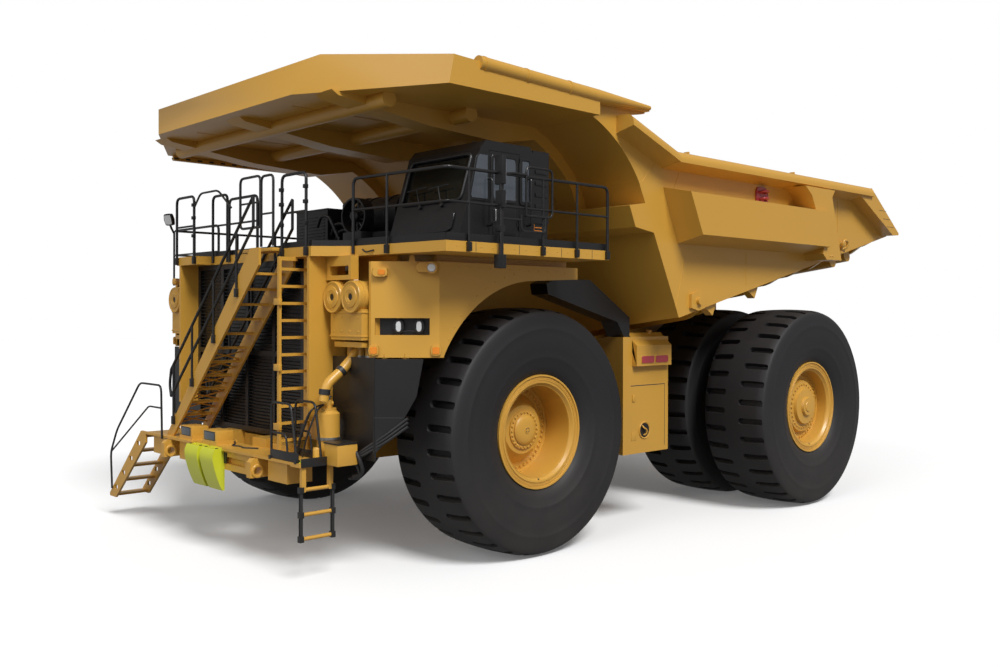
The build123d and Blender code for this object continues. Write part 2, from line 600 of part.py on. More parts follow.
def pane(x, y, z):
    """A pane that fills an opening but for a thin seat all round."""
    return block((x[0] + SEAT, x[1] - SEAT), y, (z[0] + SEAT, z[1] - SEAT))


def cab_glass():
    wall_mid = CAB_WALL / 2
    screen_low, screen_high = SCREEN_Z[0] + SEAT, SCREEN_Z[1] - SEAT
    screen = prism([
        (front_face_x(screen_low) - wall_mid, screen_low), (front_face_x(screen_high) - wall_mid, screen_high),
        (front_face_x(screen_high) - wall_mid - GLASS_T, screen_high),
        (front_face_x(screen_low) - wall_mid - GLASS_T, screen_low),
    ], "Y", SCREEN_Y[0] + SEAT, SCREEN_Y[1] - SEAT)
    panes = [screen]
    for x in SIDE_PANES:
        panes.append(pane(x, (CAB_LEFT_Y - 30 - GLASS_T, CAB_LEFT_Y - 30), SIDE_Z))
        panes.append(pane(x, (CAB_RIGHT_Y + 30, CAB_RIGHT_Y + 30 + GLASS_T), SIDE_Z))
    panes.append(pane((4450, 4930), (CAB_RIGHT_Y + 30, CAB_RIGHT_Y + 30 + GLASS_T), SIDE_Z))
    return group(*panes)


def cab_interior():
    floor_z = CAB_LOW_Z + CAB_WALL + SEAT
    seat = fuse(
        block((4450, 4950), (3000, 3500), (floor_z + 380, floor_z + 500)),
        block((4380, 4500), (3000, 3500), (floor_z + 400, floor_z + 1150)),
        block((4550, 4850), (3100, 3400), (floor_z, floor_z + 400)),
    )
    dash = fuse(
        block((5130, 5260), (2600, 4000), (floor_z + 380, floor_z + 560)),
        block((5150, 5240), (3150, 3350), (floor_z, floor_z + 400)),
        rod((5160, 3250, floor_z + 500), (5030, 3250, floor_z + 640), 30),
        rod((5040, 3250, floor_z + 620), (5025, 3250, floor_z + 645), 210),
    )
    return group(seat, dash)


pieces["cab_shell"] = cab_shell()
pieces["cab_glass"] = cab_glass()
pieces["cab_interior"] = cab_interior()
door = block(DOOR_X, (CAB_LEFT_Y - DOOR_T, CAB_LEFT_Y), DOOR_Z)
door = door - block(DOOR_PANE_X, (CAB_LEFT_Y - 100, CAB_LEFT_Y + 10), SIDE_Z)
for z in HINGE_Z:
    door = fuse(door, hinge_knuckle(z, DOOR_X[0] + 50))
door = door - rod((HINGE_X, HINGE_Y, DOOR_Z[0]), (HINGE_X, HINGE_Y, DOOR_Z[1]), HINGE_PIN_R + RUN_FIT)
pieces["cab_door"] = door
pieces["cab_door_glass"] = pane(DOOR_PANE_X, (CAB_LEFT_Y - 30 - GLASS_T, CAB_LEFT_Y - 30), SIDE_Z)

pieces["cab_air_unit"] = fuse(
    block((3690, CAB_REAR_X - SEAT), (3200, 4120), (5350, 6490)),
    block((3750, CAB_REAR_X - SEAT), (2600, 3200), (CAB_LOW_Z, 6100)),
    block((3700, CAB_REAR_X - SEAT), (3200, 4100), (CAB_LOW_Z, 5360)),
)
pieces["deck_cabinet"] = block((4700, 5600), (-300, 700), (CAB_LOW_Z, 5720))
pieces["deck_mufflers"] = fuse(
    rod((5000, 1100, 5560), (5000, 2250, 5560), 330),
    block((4800, 5200), (1150, 2200), (CAB_LOW_Z, 5400)),
)


# ------------------------------------------------------- stairs and ladders
STAIR_FOOT = (-1700.0, 1890.0)
STAIR_DEPTH = 130.0
STAIR_HEAD = (1400.0 - STAIR_DEPTH - SEAT, 4790.0)
stair_slope = (STAIR_HEAD[1] - STAIR_FOOT[1]) / (STAIR_HEAD[0] - STAIR_FOOT[0])
STAIR_STEPS = 11


def stringer(x):
    depth = STAIR_DEPTH
    foot_z = PLATE_TOP_Z + SEAT
    points = [(STAIR_FOOT[0] - depth, foot_z), (STAIR_FOOT[0] + depth, foot_z),
              (STAIR_HEAD[0] + depth, STAIR_HEAD[1] - 120), (STAIR_HEAD[0] + depth, STAIR_HEAD[1] + 150),
              (STAIR_HEAD[0] - depth, STAIR_HEAD[1] + 150)]
    return prism(points, "X", x, x + 40)


stair_parts = [stringer(STAIR_REAR_X), stringer(STAIR_FRONT_X - 40)]
for step in range(1, STAIR_STEPS + 1):
    share = step / (STAIR_STEPS + 1)
    y = STAIR_FOOT[0] + share * (STAIR_HEAD[0] - STAIR_FOOT[0])
    z = STAIR_FOOT[1] + share * (STAIR_HEAD[1] - STAIR_FOOT[1])
    stair_parts.append(block((STAIR_REAR_X + 20, STAIR_FRONT_X - 20), (y - 110, y + 110), (z - 20, z + 20)))
pieces["front_stairs"] = fuse(*stair_parts)

LADDER_Y = 1780.0
ladder_parts = []
for x in (6640, 7140):
    ladder_parts.append(block((x, x + 40), (LADDER_Y - 30, LADDER_Y + 30), (PLATE_TOP_Z + SEAT, 4790)))
for step in range(11):
    z = 1980 + step * 262
    ladder_parts.append(block((6660, 7160), (LADDER_Y - 22, LADDER_Y + 22), (z - 22, z + 22)))
ladder_parts.append(block((6860, 7180), (LADDER_Y - 30, LADDER_Y + 30), (4730, 4790)))
pieces["front_ladder"] = fuse(*ladder_parts)

step_parts = []
for x in (6720, 7360):
    points = [(-2500 - SEAT, 1760), (-2500 - SEAT, 1560), (-3850, 380), (-4130, 380), (-4130, 440), (-2700, 1760)]
    step_parts.append(prism(points, "X", x, x + 40))
for y, z in ((-4000, 420), (-3660, 740), (-3320, 1050), (-2980, 1360), (-2640, 1670)):
    step_parts.append(block((6740, 7380), (y - 120, y + 120), (z - 20, z + 20)))
pieces["boarding_steps"] = fuse(*step_parts)

hang_parts = [block((6600, 7400), (2500 + SEAT, 2760), (PLATE_TOP_Z - 60, PLATE_TOP_Z))]
for x in (6820, 7290):
    hang_parts.append(block((x, x + 40), (2690, 2730), (640, PLATE_TOP_Z - 50)))
for z in (660, 990, 1320):
    hang_parts.append(block((6830, 7320), (2670, 2750), (z - 20, z + 20)))
pieces["side_platform"] = fuse(*hang_parts)


# ---------------------------------------------------------------- handrails
def posts(points, top, low):
    """Upright tubes at (x, y) places."""
    return [rod((x, y, low), (x, y, top), POST_TUBE_R) for x, y in points]


RAIL_TOP = 5950.0
RAIL_MID = 5480.0
rail_foot = DECK_TOP_Z - DECK_BAND + 30
out = POST_TUBE_R + SEAT


def beside_corner(before, corner, after, gap):
    """A spot the same distance off the two edges that meet in a corner."""
    into, away = Vector(*corner) - Vector(*before), Vector(*after) - Vector(*corner)
    first = Vector(into.Y, -into.X).normalized()
    second = Vector(away.Y, -away.X).normalized()
    spot = Vector(*corner) + (first + second) * (gap / (1 + first.dot(second)))
    return (spot.X, spot.Y)


corner_post = beside_corner((6900, 2250), (6450, 2700), (6300, DECK_LEFT_Y), out)
left_y = DECK_LEFT_Y + out
rails = [
    rail([(*corner_post, RAIL_TOP), (6300, left_y, RAIL_TOP), (DECK_REAR_X + 60, left_y, RAIL_TOP)]),
    rail([(*corner_post, RAIL_MID), (6300, left_y, RAIL_MID), (DECK_REAR_X + 60, left_y, RAIL_MID)]),
    *posts([corner_post, (6390 + out, 3500), (6300, left_y), (5000, left_y), (3900, left_y),
            (DECK_REAR_X + 60, left_y)], RAIL_TOP, rail_foot),
]
left_rails = fuse(*rails)
right_y = -4300 - out
walk_rails = fuse(
    rail([(6000 + out, -2400, 5600), (6000 + out, right_y, 5600), (3060, right_y, 5600)]),
    rail([(6000 + out, -2400, 5100), (6000 + out, right_y, 5100), (3060, right_y, 5100)]),
    *posts([(6000 + out, -2400), (6000 + out, -3400), (6000 + out, right_y), (4600, right_y), (3060, right_y)],
           5600, WALKWAY_Z - 80),
)
front_rails = fuse(
    rail([(6900 + out, -2250, RAIL_TOP), (6900 + out, -1560, RAIL_TOP)]),
    rail([(6900 + out, -2250, RAIL_MID), (6900 + out, -1560, RAIL_MID)]),
    *posts([(6900 + out, -2250), (6900 + out, -1560)], RAIL_TOP, rail_foot),
)
gate_rails = fuse(
    rail([(6900 + out, 1450, RAIL_TOP), (6900 + out, 2150, RAIL_TOP)]),
    rail([(6900 + out, 1450, RAIL_MID), (6900 + out, 2150, RAIL_MID)]),
    *posts([(6900 + out, 1450), (6900 + out, 2150)], RAIL_TOP, rail_foot),
)
pieces["handrails"] = group(left_rails, walk_rails, front_rails, gate_rails)


# ---------------------------------------------------------------------- bed
def side_low_z(x):
    """Underside of the floor at the side plates."""
    return BED_FRONT_Z + (BED_FRONT_X - x) * BED_SLOPE


VEE_SLOPE = VEE_DROP / BED_IN_HALF
run_dir = Vector(-1, 0, BED_SLOPE)


def sloped_run(points, x_front, x_back):
    """A (y, z) outline given at BED_FRONT_X, pushed back along the floor's slope."""
    shift = BED_FRONT_X - x_front
    face = make_face(Polyline(*[(x_front, y, z + shift * BED_SLOPE) for y, z in points], close=True))
    return Solid.extrude(face.faces()[0], run_dir * (x_front - x_back))


def vee(y):
    """Height of the vee floor's underside at BED_FRONT_X."""
    return BED_FRONT_Z - VEE_DROP + abs(y) * VEE_SLOPE


def wall_x(z):
    """Outer face of the leaning front wall at a height."""
    lean = (WALL_TOP_X - BED_FRONT_X) / (WALL_TOP_Z - BED_FRONT_Z)
    return BED_FRONT_X + (z - BED_FRONT_Z) * lean


FAR = 9000.0
above_floor = sloped_run(
    [(-FAR, vee(FAR)), (0, vee(0)), (FAR, vee(FAR)), (FAR, FAR * 2), (-FAR, FAR * 2)], 3000, -FAR)
ahead_of_wall = prism(
    [(wall_x(2000) - WALL_T, 2000), (wall_x(8000) - WALL_T, 8000), (9000, 8000), (9000, 2000)], "Y", -FAR, FAR)

BED_RAIL_GAP = 6.0


def bed_floor():
    slab = sloped_run([
        (-BED_IN_HALF, vee(BED_IN_HALF)), (0, vee(0)), (BED_IN_HALF, vee(BED_IN_HALF)),
        (BED_IN_HALF, vee(BED_IN_HALF) + FLOOR_T), (0, vee(0) + FLOOR_T), (-BED_IN_HALF, vee(BED_IN_HALF) + FLOOR_T),
    ], 900, BED_TAIL_X)
    slab = slab - ahead_of_wall
    back_x = PIVOT_X - 350
    rail_outline = [
        (PAD_START_X - 100, pad_z(PAD_START_X - 100) + BED_RAIL_GAP), (PAD_START_X - 100, 4500),
        (back_x, 5500), (back_x, PIVOT_Z + 650), (PIVOT_X + 500, PIVOT_Z + 500),
        (PIVOT_X + 700, pad_z(PIVOT_X + 700) + BED_RAIL_GAP),
    ]
    rails_left = prism(rail_outline, "Y", RAIL_IN_Y, RAIL_OUT_Y) - above_floor
    parts = [slab, rails_left, mirrored(rails_left)]
    ear_outline = [
        (back_x, 5500), (back_x, PIVOT_Z + 500), (PIVOT_X - 260, PIVOT_Z + 100), (PIVOT_X - 260, PIVOT_Z - 150),
        (PIVOT_X - 110, PIVOT_Z - 270), (PIVOT_X + 110, PIVOT_Z - 270), (PIVOT_X + 260, PIVOT_Z - 150),
        (PIVOT_X + 260, PIVOT_Z + 100), (PIVOT_X + 900, PIVOT_Z + 600), (PIVOT_X + 900, 5500),
    ]
    for low, high in ((RAIL_OUT_Y + 6, RAIL_OUT_Y + 106), (RAIL_IN_Y - 96, RAIL_IN_Y - 6)):
        ear = prism(ear_outline, "Y", low, high) - above_floor
        link = block((back_x, PIVOT_X + 900), (RAIL_IN_Y - 96, RAIL_OUT_Y + 106), (PIVOT_Z + 660, 5500)) - above_floor
        parts += [ear, mirrored(ear), link, mirrored(link)]
    # hoist ears, each side of the cylinder's eye
    for low, high in HOIST_EARS:
        ear = prism([
            (HOIST_EYE_X - 260, 5000), (HOIST_EYE_X - 200, HOIST_EYE_Z - 150), (HOIST_EYE_X + 200, HOIST_EYE_Z - 150),
            (HOIST_EYE_X + 320, 5000),
        ], "Y", low, high) - above_floor
        parts += [ear, mirrored(ear)]
    # bolsters under the floor: front x, width, depth
    for x, width, depth in (
        (-250, 200, 230), (-650, 200, 230), (-2150, 200, 200), (-3000, 200, 180), (-3850, 200, 180),
        (-4700, 200, 200), (-5600, 200, 230), (-6500, 200, 230), (-7200, 160, 160),
    ):
        half = BED_IN_HALF
        beam = sloped_run([
            (-half, vee(half)), (0, vee(0)), (half, vee(half)), (half - 350, vee(half) - depth),
            (0, vee(0) - depth), (-half + 350, vee(half) - depth),
        ], x, x - width)
        parts.append(beam)
    floor = fuse(*parts)
    for side in (1, -1):
        floor = floor - disc(PIVOT_X, (side * (RAIL_IN_Y - 200), side * (RAIL_OUT_Y + 200)), PIVOT_Z, PIVOT_PIN_R + RUN_FIT)
    return floor


HOIST_EARS = ((985.0, 1045.0), (1355.0, 1415.0))
pieces["bed_floor"] = bed_floor()


def arc_wall(low_z, offset):
    """Edges of the front wall's face, from low_z up the lean and round to the canopy."""
    return [
        Line((wall_x(low_z) - offset, 0, low_z), (WALL_TOP_X - offset, 0, WALL_TOP_Z)),
        ThreePointArc((WALL_TOP_X - offset, 0, WALL_TOP_Z), (2165 - offset * 0.6, 0, 6730 + offset * 0.6),
                      (CANOPY_BACK_X, 0, CANOPY_Z + offset * 0.83)),
    ]


def bed_front_wall():
    low_z = 3000.0
    outer, inner = arc_wall(low_z, 0), arc_wall(low_z, WALL_T)
    ends = [
        Line(outer[1] @ 1, inner[1] @ 1),
        Line(outer[0] @ 0, inner[0] @ 0),
    ]
    face = make_face([*outer, *inner, *ends]).faces()[0]
    wall = Solid.extrude(face, Vector(0, 2 * BED_IN_HALF, 0)).translate(Vector(0, -BED_IN_HALF, 0))
    below = sloped_run([(-FAR, vee(FAR)), (0, vee(0)), (FAR, vee(FAR)), (FAR, -FAR), (-FAR, -FAR)], 3000, -FAR)
    wall = wall - below
    channel = prism([
        (wall_x(5350) - 1, 5350), (wall_x(5350) + 500, 5420), (wall_x(5850) + 420, 5780), (wall_x(5850) - 1, 5850),
    ], "Y", -BED_IN_HALF - SIDE_PLATE_T, BED_IN_HALF + SIDE_PLATE_T)
    keep = prism([(wall_x(5000), 5000), (wall_x(6100), 6100), (4000, 6100), (4000, 5000)], "Y", -FAR, FAR)
    return fuse(wall, channel & keep)


pieces["bed_front_wall"] = bed_front_wall()

SIDE_Y = BED_IN_HALF + SEAT
SIDE_OUT_Y = BED_IN_HALF + SIDE_PLATE_T


def bed_side():
    """Side plate, top rails and stiffeners of the left side."""
    outer = arc_wall(BED_FRONT_Z, 0)
    loop = [
        *[edge.translate(Vector(0, SIDE_Y, 0)) for edge in outer],
        *Polyline(
            (CANOPY_BACK_X, SIDE_Y, CANOPY_Z), (CANOPY_BACK_X, SIDE_Y, 7470), (1550, SIDE_Y, 7430),
            (1550, SIDE_Y, 7390), (2300, SIDE_Y, 7250), (1000, SIDE_Y, BED_TOP_Z - 10), (-6200, SIDE_Y, BED_TOP_Z),
            (BED_TAIL_X, SIDE_Y, side_low_z(BED_TAIL_X) + 40), (BED_TAIL_X, SIDE_Y, side_low_z(BED_TAIL_X)),
            (BED_FRONT_X, SIDE_Y, BED_FRONT_Z)).edges(),
    ]
    plate = Solid.extrude(make_face(loop).faces()[0], Vector(0, SIDE_PLATE_T, 0))
    root = SIDE_OUT_Y - 1
    bars = [
        prism([(1000, BED_TOP_Z - 10), (-6200, BED_TOP_Z), (-6200, 6480), (1180, 6480)], "Y", root, 4700),
        prism([(2300, 7250), (1000, BED_TOP_Z - 10), (1180, 6480), (2420, 7080)], "Y", root, 4700),
        prism([(-6200, BED_TOP_Z), (BED_TAIL_X, 5830), (BED_TAIL_X, 5775), (-7200, 5760), (-6100, 6520)],
              "Y", root, 4640),
        prism([(CANOPY_BACK_X, CANOPY_Z + 60), (CANOPY_BACK_X, 7470), (1550, 7430), (1550, 7390)],
              "Y", root, CANOPY_HALF),
        prism([(-3240, 6520), (-3990, 6520), (-4520, 5070), (-4040, 5070)], "Y", root, 4800),
    ]
    root_face = make_face(Polyline((-3900, root, 5190), (600, root, 5190), (1020, root, 6170), (-3900, root, 6170),
                                   close=True)).faces()[0]
    crest_face = make_face(Polyline((-3900, BED_OUT_HALF, 5380), (700, BED_OUT_HALF, 5380),
                                    (900, BED_OUT_HALF, 5940), (-3900, BED_OUT_HALF, 5940), close=True)).faces()[0]
    stiffener = Solid.make_loft([root_face.outer_wire(), crest_face.outer_wire()], ruled=True)
    return fuse(plate, *bars, stiffener)


pieces["bed_side_left"] = bed_side()
pieces["bed_side_right"] = mirrored(pieces["bed_side_left"])


def bed_canopy():
    """Flat cover over the deck with a leaning rim and boxed ribs below."""
    start = CANOPY_BACK_X + SEAT
    low_ring = [(start, LIP_Y), (6080, LIP_Y), (CANOPY_FRONT_X, 2280),
                (CANOPY_FRONT_X, -2280), (6080, -LIP_Y), (start, -LIP_Y)]
    top_ring = [(start, LIP_Y), (5960, LIP_Y), (7060, 2740), (7060, -2740), (5960, -LIP_Y), (start, -LIP_Y)]

    def ring(points, z, inset):
        placed = []
        for x, y in points:
            pull_x = 0 if x == start else inset
            placed.append((x - pull_x, y - inset * (1 if y > 0 else -1), z))
        return Polyline(*placed, close=True)

    outer = Solid.make_loft([Wire(ring(low_ring, CANOPY_Z, 0)), Wire(ring(top_ring, CANOPY_TOP_Z, 0))], ruled=True)
    inner = Solid.make_loft(
        [Wire(ring(low_ring, CANOPY_Z + CANOPY_T, LIP_T)), Wire(ring(top_ring, CANOPY_TOP_Z + 1, LIP_T))], ruled=True)
    tray = outer - inner
    tray = tray - prism([(start - 10, 7470), (5960, 7580), (7060, CANOPY_TOP_Z), (7060, 8000), (start - 10, 8000)],
                        "Y", -FAR, FAR)
    tray = tray - block((start - 10, start + LIP_T + 30), (-BED_IN_HALF, BED_IN_HALF), (CANOPY_Z + CANOPY_T, 8000))
    edge_tube = rod((start - 50, LIP_Y - 12, 7410), (5900, LIP_Y - 12, 7500), CANOPY_HALF - LIP_Y + 12)
    edge_tube = edge_tube - block((start - 200, start), (0, FAR), (7000, 8000))
    parts = [tray, edge_tube, mirrored(edge_tube)]
    for y in (-2750, 0, 2750):
        parts.append(prism([
            (start, CANOPY_Z + 10), (start, 6950), (3600, 6830), (6900, 7100), (7000, CANOPY_Z + 10),
        ], "Y", y - 230, y + 230))
    for x in (4700, 6200):
        parts.append(rod((x, -4300, 7060), (x, 4300, 7060), 160))
    return fuse(*parts)


pieces["bed_canopy"] = bed_canopy()


# -------------------------------------------------------------------- hoist
low = Vector(HOIST_LOW_X, 0, HOIST_LOW_Z)
high = Vector(HOIST_EYE_X, 0, HOIST_EYE_Z)
hoist_len = (high - low).length
hoist_dir = (high - low).normalized()


def along(distance, y):
    """A point on the hoist's line, measured from its lower pin."""
    p = low + hoist_dir * distance
    return (p.X, y, p.Z)


BARREL_TOP = hoist_len - 380.0
STAGE_TOP = hoist_len - 270.0
SLEEVE_LOW = 260.0
eye_half = 125.0
barrel = rod(along(SLEEVE_LOW - 60, HOIST_Y), along(BARREL_TOP, HOIST_Y), HOIST_BARREL_R)
barrel = fuse(barrel, disc(HOIST_LOW_X, (HOIST_Y - eye_half, HOIST_Y + eye_half), HOIST_LOW_Z, HOIST_EYE_R + 40),
              rod(along(100, HOIST_Y), along(SLEEVE_LOW, HOIST_Y), 160))
barrel = barrel - disc(HOIST_LOW_X, (HOIST_Y - 300, HOIST_Y + 300), HOIST_LOW_Z, HOIST_PIN_R + RUN_FIT)
barrel = barrel - rod(along(SLEEVE_LOW, HOIST_Y), along(hoist_len, HOIST_Y), HOIST_STAGE_R + RUN_FIT)
stage = rod(along(SLEEVE_LOW + 20, HOIST_Y), along(STAGE_TOP, HOIST_Y), HOIST_STAGE_R)
stage = stage - rod(along(SLEEVE_LOW + 60, HOIST_Y), along(hoist_len, HOIST_Y), HOIST_ROD_R + RUN_FIT)
piston = rod(along(SLEEVE_LOW + 80, HOIST_Y), along(hoist_len, HOIST_Y), HOIST_ROD_R)
piston = fuse(piston, disc(HOIST_EYE_X, (HOIST_Y - eye_half, HOIST_Y + eye_half), HOIST_EYE_Z, HOIST_EYE_R))
piston = piston - disc(HOIST_EYE_X, (HOIST_Y - 300, HOIST_Y + 300), HOIST_EYE_Z, HOIST_PIN_R)
pieces["hoist_barrels"] = both_sides(barrel)
pieces["hoist_stages"] = both_sides(stage)
pieces["hoist_rods"] = both_sides(piston)

os.makedirs("parts", exist_ok=True)
for name, shape in pieces.items():
    export_step(shape, f"parts/{name}.step")
print(len(pieces), "pieces written")
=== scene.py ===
# %% [markdown]
# # A mining dump truck, dressed in Blender
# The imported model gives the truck's solid pieces in metres: +X is forward, +Y is the driver's side, +Z is up.
# This lesson keeps those pieces where they are. It paints them, and adds the small forms that a solid model leaves out.
# Each step says what the part is on the real truck, how it could be made, and why this way was chosen.

# %% Load the frame
import bpy
import bmesh
import json
import math
from mathutils import Matrix, Vector


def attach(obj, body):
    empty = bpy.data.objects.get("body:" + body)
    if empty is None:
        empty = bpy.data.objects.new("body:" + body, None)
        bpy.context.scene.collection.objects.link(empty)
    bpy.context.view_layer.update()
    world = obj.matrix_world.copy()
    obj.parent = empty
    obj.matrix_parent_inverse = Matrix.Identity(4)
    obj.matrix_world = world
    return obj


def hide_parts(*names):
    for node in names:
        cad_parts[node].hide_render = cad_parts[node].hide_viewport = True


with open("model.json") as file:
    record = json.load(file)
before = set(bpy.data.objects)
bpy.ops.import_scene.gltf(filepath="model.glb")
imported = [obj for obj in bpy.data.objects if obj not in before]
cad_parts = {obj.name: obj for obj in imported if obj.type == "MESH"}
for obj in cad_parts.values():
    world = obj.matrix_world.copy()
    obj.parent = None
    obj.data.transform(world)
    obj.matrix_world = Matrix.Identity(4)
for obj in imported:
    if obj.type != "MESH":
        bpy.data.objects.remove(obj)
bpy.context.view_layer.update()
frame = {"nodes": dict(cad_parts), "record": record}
NODES = frame["nodes"]


# %% [markdown]
# ## The camera
# The truck is seen from ahead and to its left, from a little over the height of the front tyre.
# A camera could be aimed with a Track To constraint. A plain matrix is exact, so the place and the three
# directions are written here, and the shift moves the picture without turning the camera.

# %% Camera
CAMERA_AT = Vector((14.9414, 15.0817, 3.9396))
CAMERA_YAW = 3.9486
CAMERA_PITCH = -0.0024
CAMERA_ROLL = 0.0027
CAMERA_LENS = 35.41
CAMERA_SHIFT = (-0.01431, -0.01821)


def put(name, data):
    """Adds an object for some data to the scene."""
    thing = bpy.data.objects.new(name, data)
    bpy.context.scene.collection.objects.link(thing)
    return thing


def camera_matrix():
    level = math.cos(CAMERA_PITCH)
    ahead = Vector((level * math.cos(CAMERA_YAW), level * math.sin(CAMERA_YAW), math.sin(CAMERA_PITCH)))
    right = ahead.cross(Vector((0, 0, 1))).normalized()
    up = right.cross(ahead)
    c, s = math.cos(CAMERA_ROLL), math.sin(CAMERA_ROLL)
    right, up = c * right + s * up, c * up - s * right
    turn = Matrix((right, up, -ahead)).transposed().to_4x4()
    return Matrix.Translation(CAMERA_AT) @ turn


camera_data = bpy.data.cameras.new("camera")
camera_data.lens = CAMERA_LENS
camera_data.shift_x, camera_data.shift_y = CAMERA_SHIFT
camera_data.clip_end = 400
camera = put("camera", camera_data)
camera.matrix_world = camera_matrix()
bpy.context.scene.camera = camera
bpy.context.scene.view_settings.view_transform = "Standard"
print("camera at", tuple(round(v, 2) for v in CAMERA_AT))

# %% [markdown]
# ## Material helpers
# A material is a small tree of nodes. These helpers add a node, set its plain numbers and join sockets,
# so that each finish below reads as a short list.

# %% Node helpers
def feed(tree, socket, value):
    """Joins an output to an input, or sets the input's plain number."""
    if isinstance(value, bpy.types.NodeSocket):
        tree.links.new(value, socket)
    else:
        socket.default_value = value


def tree_node(tree, kind, label=None, **values):
    """Adds a node. Values in small letters are its options; the others feed its inputs, with spaces as underscores."""
    node = tree.nodes.new(kind)
    if label:
        node.label = label
    for name, value in values.items():
        if name.islower():
            setattr(node, name, value)
    for name, value in values.items():
        if not name.islower():
            feed(tree, node.inputs[name.replace("_", " ")], value)
    return node


def tree_math(tree, operation, *values, clamp=False):
    node = tree_node(tree, "ShaderNodeMath", operation=operation, use_clamp=clamp)
    for socket, value in zip(node.inputs, values):
        feed(tree, socket, value)
    return node.outputs[0]


def new_group(name, inputs, outputs):
    """An empty shader group; inputs are (name, socket type, default)."""
    group = bpy.data.node_groups.new(name, "ShaderNodeTree")
    for label, kind, value in inputs:
        group.interface.new_socket(label, in_out="INPUT", socket_type=kind).default_value = value
    for label, kind in outputs:
        group.interface.new_socket(label, in_out="OUTPUT", socket_type=kind)
    return group, group.nodes.new("NodeGroupInput").outputs, group.nodes.new("NodeGroupOutput").inputs


FLOAT, COLOUR = "NodeSocketFloat", "NodeSocketColor"
print("helpers ready")

# %% [markdown]
# ## Shared effects
# Paint, rubber and plastic all vary a little over a surface. One group, "skin", makes that:
# a broad cloudiness that shifts the colour, a fine grain for the bump, and a roughness that follows both.
# A second group, "settled dust", gives a mask that is strongest low down and on faces that look up.

# %% Shared shader groups
def make_skin_group():
    group, given, out = new_group("skin", [("Light Tone", COLOUR, (0.5, 0.5, 0.5, 1)),
        ("Dark Tone", COLOUR, (0.4, 0.4, 0.4, 1)), ("Cloud Scale", FLOAT, 0.6), ("Grain Scale", FLOAT, 60.0),
        ("Low Roughness", FLOAT, 0.35), ("High Roughness", FLOAT, 0.5)],
        [("Colour", COLOUR), ("Roughness", FLOAT), ("Height", FLOAT), ("Cloud", FLOAT)])
    place = tree_node(group, "ShaderNodeTexCoord").outputs["Object"]
    cloud = tree_node(group, "ShaderNodeTexNoise", "cloud", Detail=3.0, Roughness=0.55, Vector=place,
        Scale=given["Cloud Scale"]).outputs["Fac"]
    grain = tree_node(group, "ShaderNodeTexNoise", "grain", Detail=2.0, Roughness=0.5, Vector=place,
        Scale=given["Grain Scale"]).outputs["Fac"]
    tone = tree_node(group, "ShaderNodeMix", data_type="RGBA", Factor=cloud, A=given["Dark Tone"],
        B=given["Light Tone"])
    rough = tree_node(group, "ShaderNodeMapRange", From_Min=0.3, From_Max=1.0,
        Value=tree_math(group, "MULTIPLY_ADD", grain, 0.3, cloud),
        To_Min=given["Low Roughness"], To_Max=given["High Roughness"])
    for label, value in (("Colour", tone.outputs["Result"]), ("Roughness", rough.outputs["Result"]),
            ("Height", grain), ("Cloud", cloud)):
        feed(group, out[label], value)
    return group


print("skin group ready")

# %% [markdown]
# Dust gathers low down and on faces that look up. A second group mixes a pale tone in by height and facing.

# %% Settled dust
def make_dust_group():
    group, given, out = new_group("settled dust", [("Colour In", COLOUR, (0.5, 0.5, 0.5, 1)),
        ("Dust Colour", COLOUR, (0.3, 0.26, 0.21, 1)), ("Amount", FLOAT, 0.3), ("Clean Above", FLOAT, 2.5)],
        [("Colour", COLOUR), ("Mask", FLOAT)])
    place = tree_node(group, "ShaderNodeTexCoord").outputs["Object"]
    patches = tree_node(group, "ShaderNodeTexNoise", "patches", Scale=1.7, Detail=5.0, Roughness=0.6, Vector=place)
    height = tree_node(group, "ShaderNodeSeparateXYZ", Vector=place).outputs["Z"]
    low = tree_node(group, "ShaderNodeMapRange", "low parts", From_Min=0.0, To_Min=1.0, To_Max=0.0, Value=height,
        From_Max=given["Clean Above"])
    normal = tree_node(group, "ShaderNodeNewGeometry").outputs["Normal"]
    facing = tree_node(group, "ShaderNodeSeparateXYZ", Vector=normal).outputs["Z"]
    up = tree_node(group, "ShaderNodeMapRange", "looks up", From_Min=0.2, From_Max=1.0, To_Min=0.0, To_Max=0.7,
        Value=facing)
    settled = tree_math(group, "ADD", low.outputs["Result"], up.outputs["Result"])
    spotty = tree_math(group, "MULTIPLY", settled, patches.outputs["Fac"])
    amount = tree_math(group, "MULTIPLY", spotty, given["Amount"], clamp=True)
    mix = tree_node(group, "ShaderNodeMix", data_type="RGBA", Factor=amount, A=given["Colour In"],
        B=given["Dust Colour"])
    feed(group, out["Colour"], mix.outputs["Result"])
    feed(group, out["Mask"], amount)
    return group


SKIN, DUST = make_skin_group(), make_dust_group()
print("shared groups:", SKIN.name, "and", DUST.name)

# %% [markdown]
# ## The finishes
# Every finish is a Principled shader fed by the two groups. The table gives each its own two tones, scales,
# roughness, bump and dust. Numbers that are the same all over, such as a clear coat, sit on the shader's own sockets.

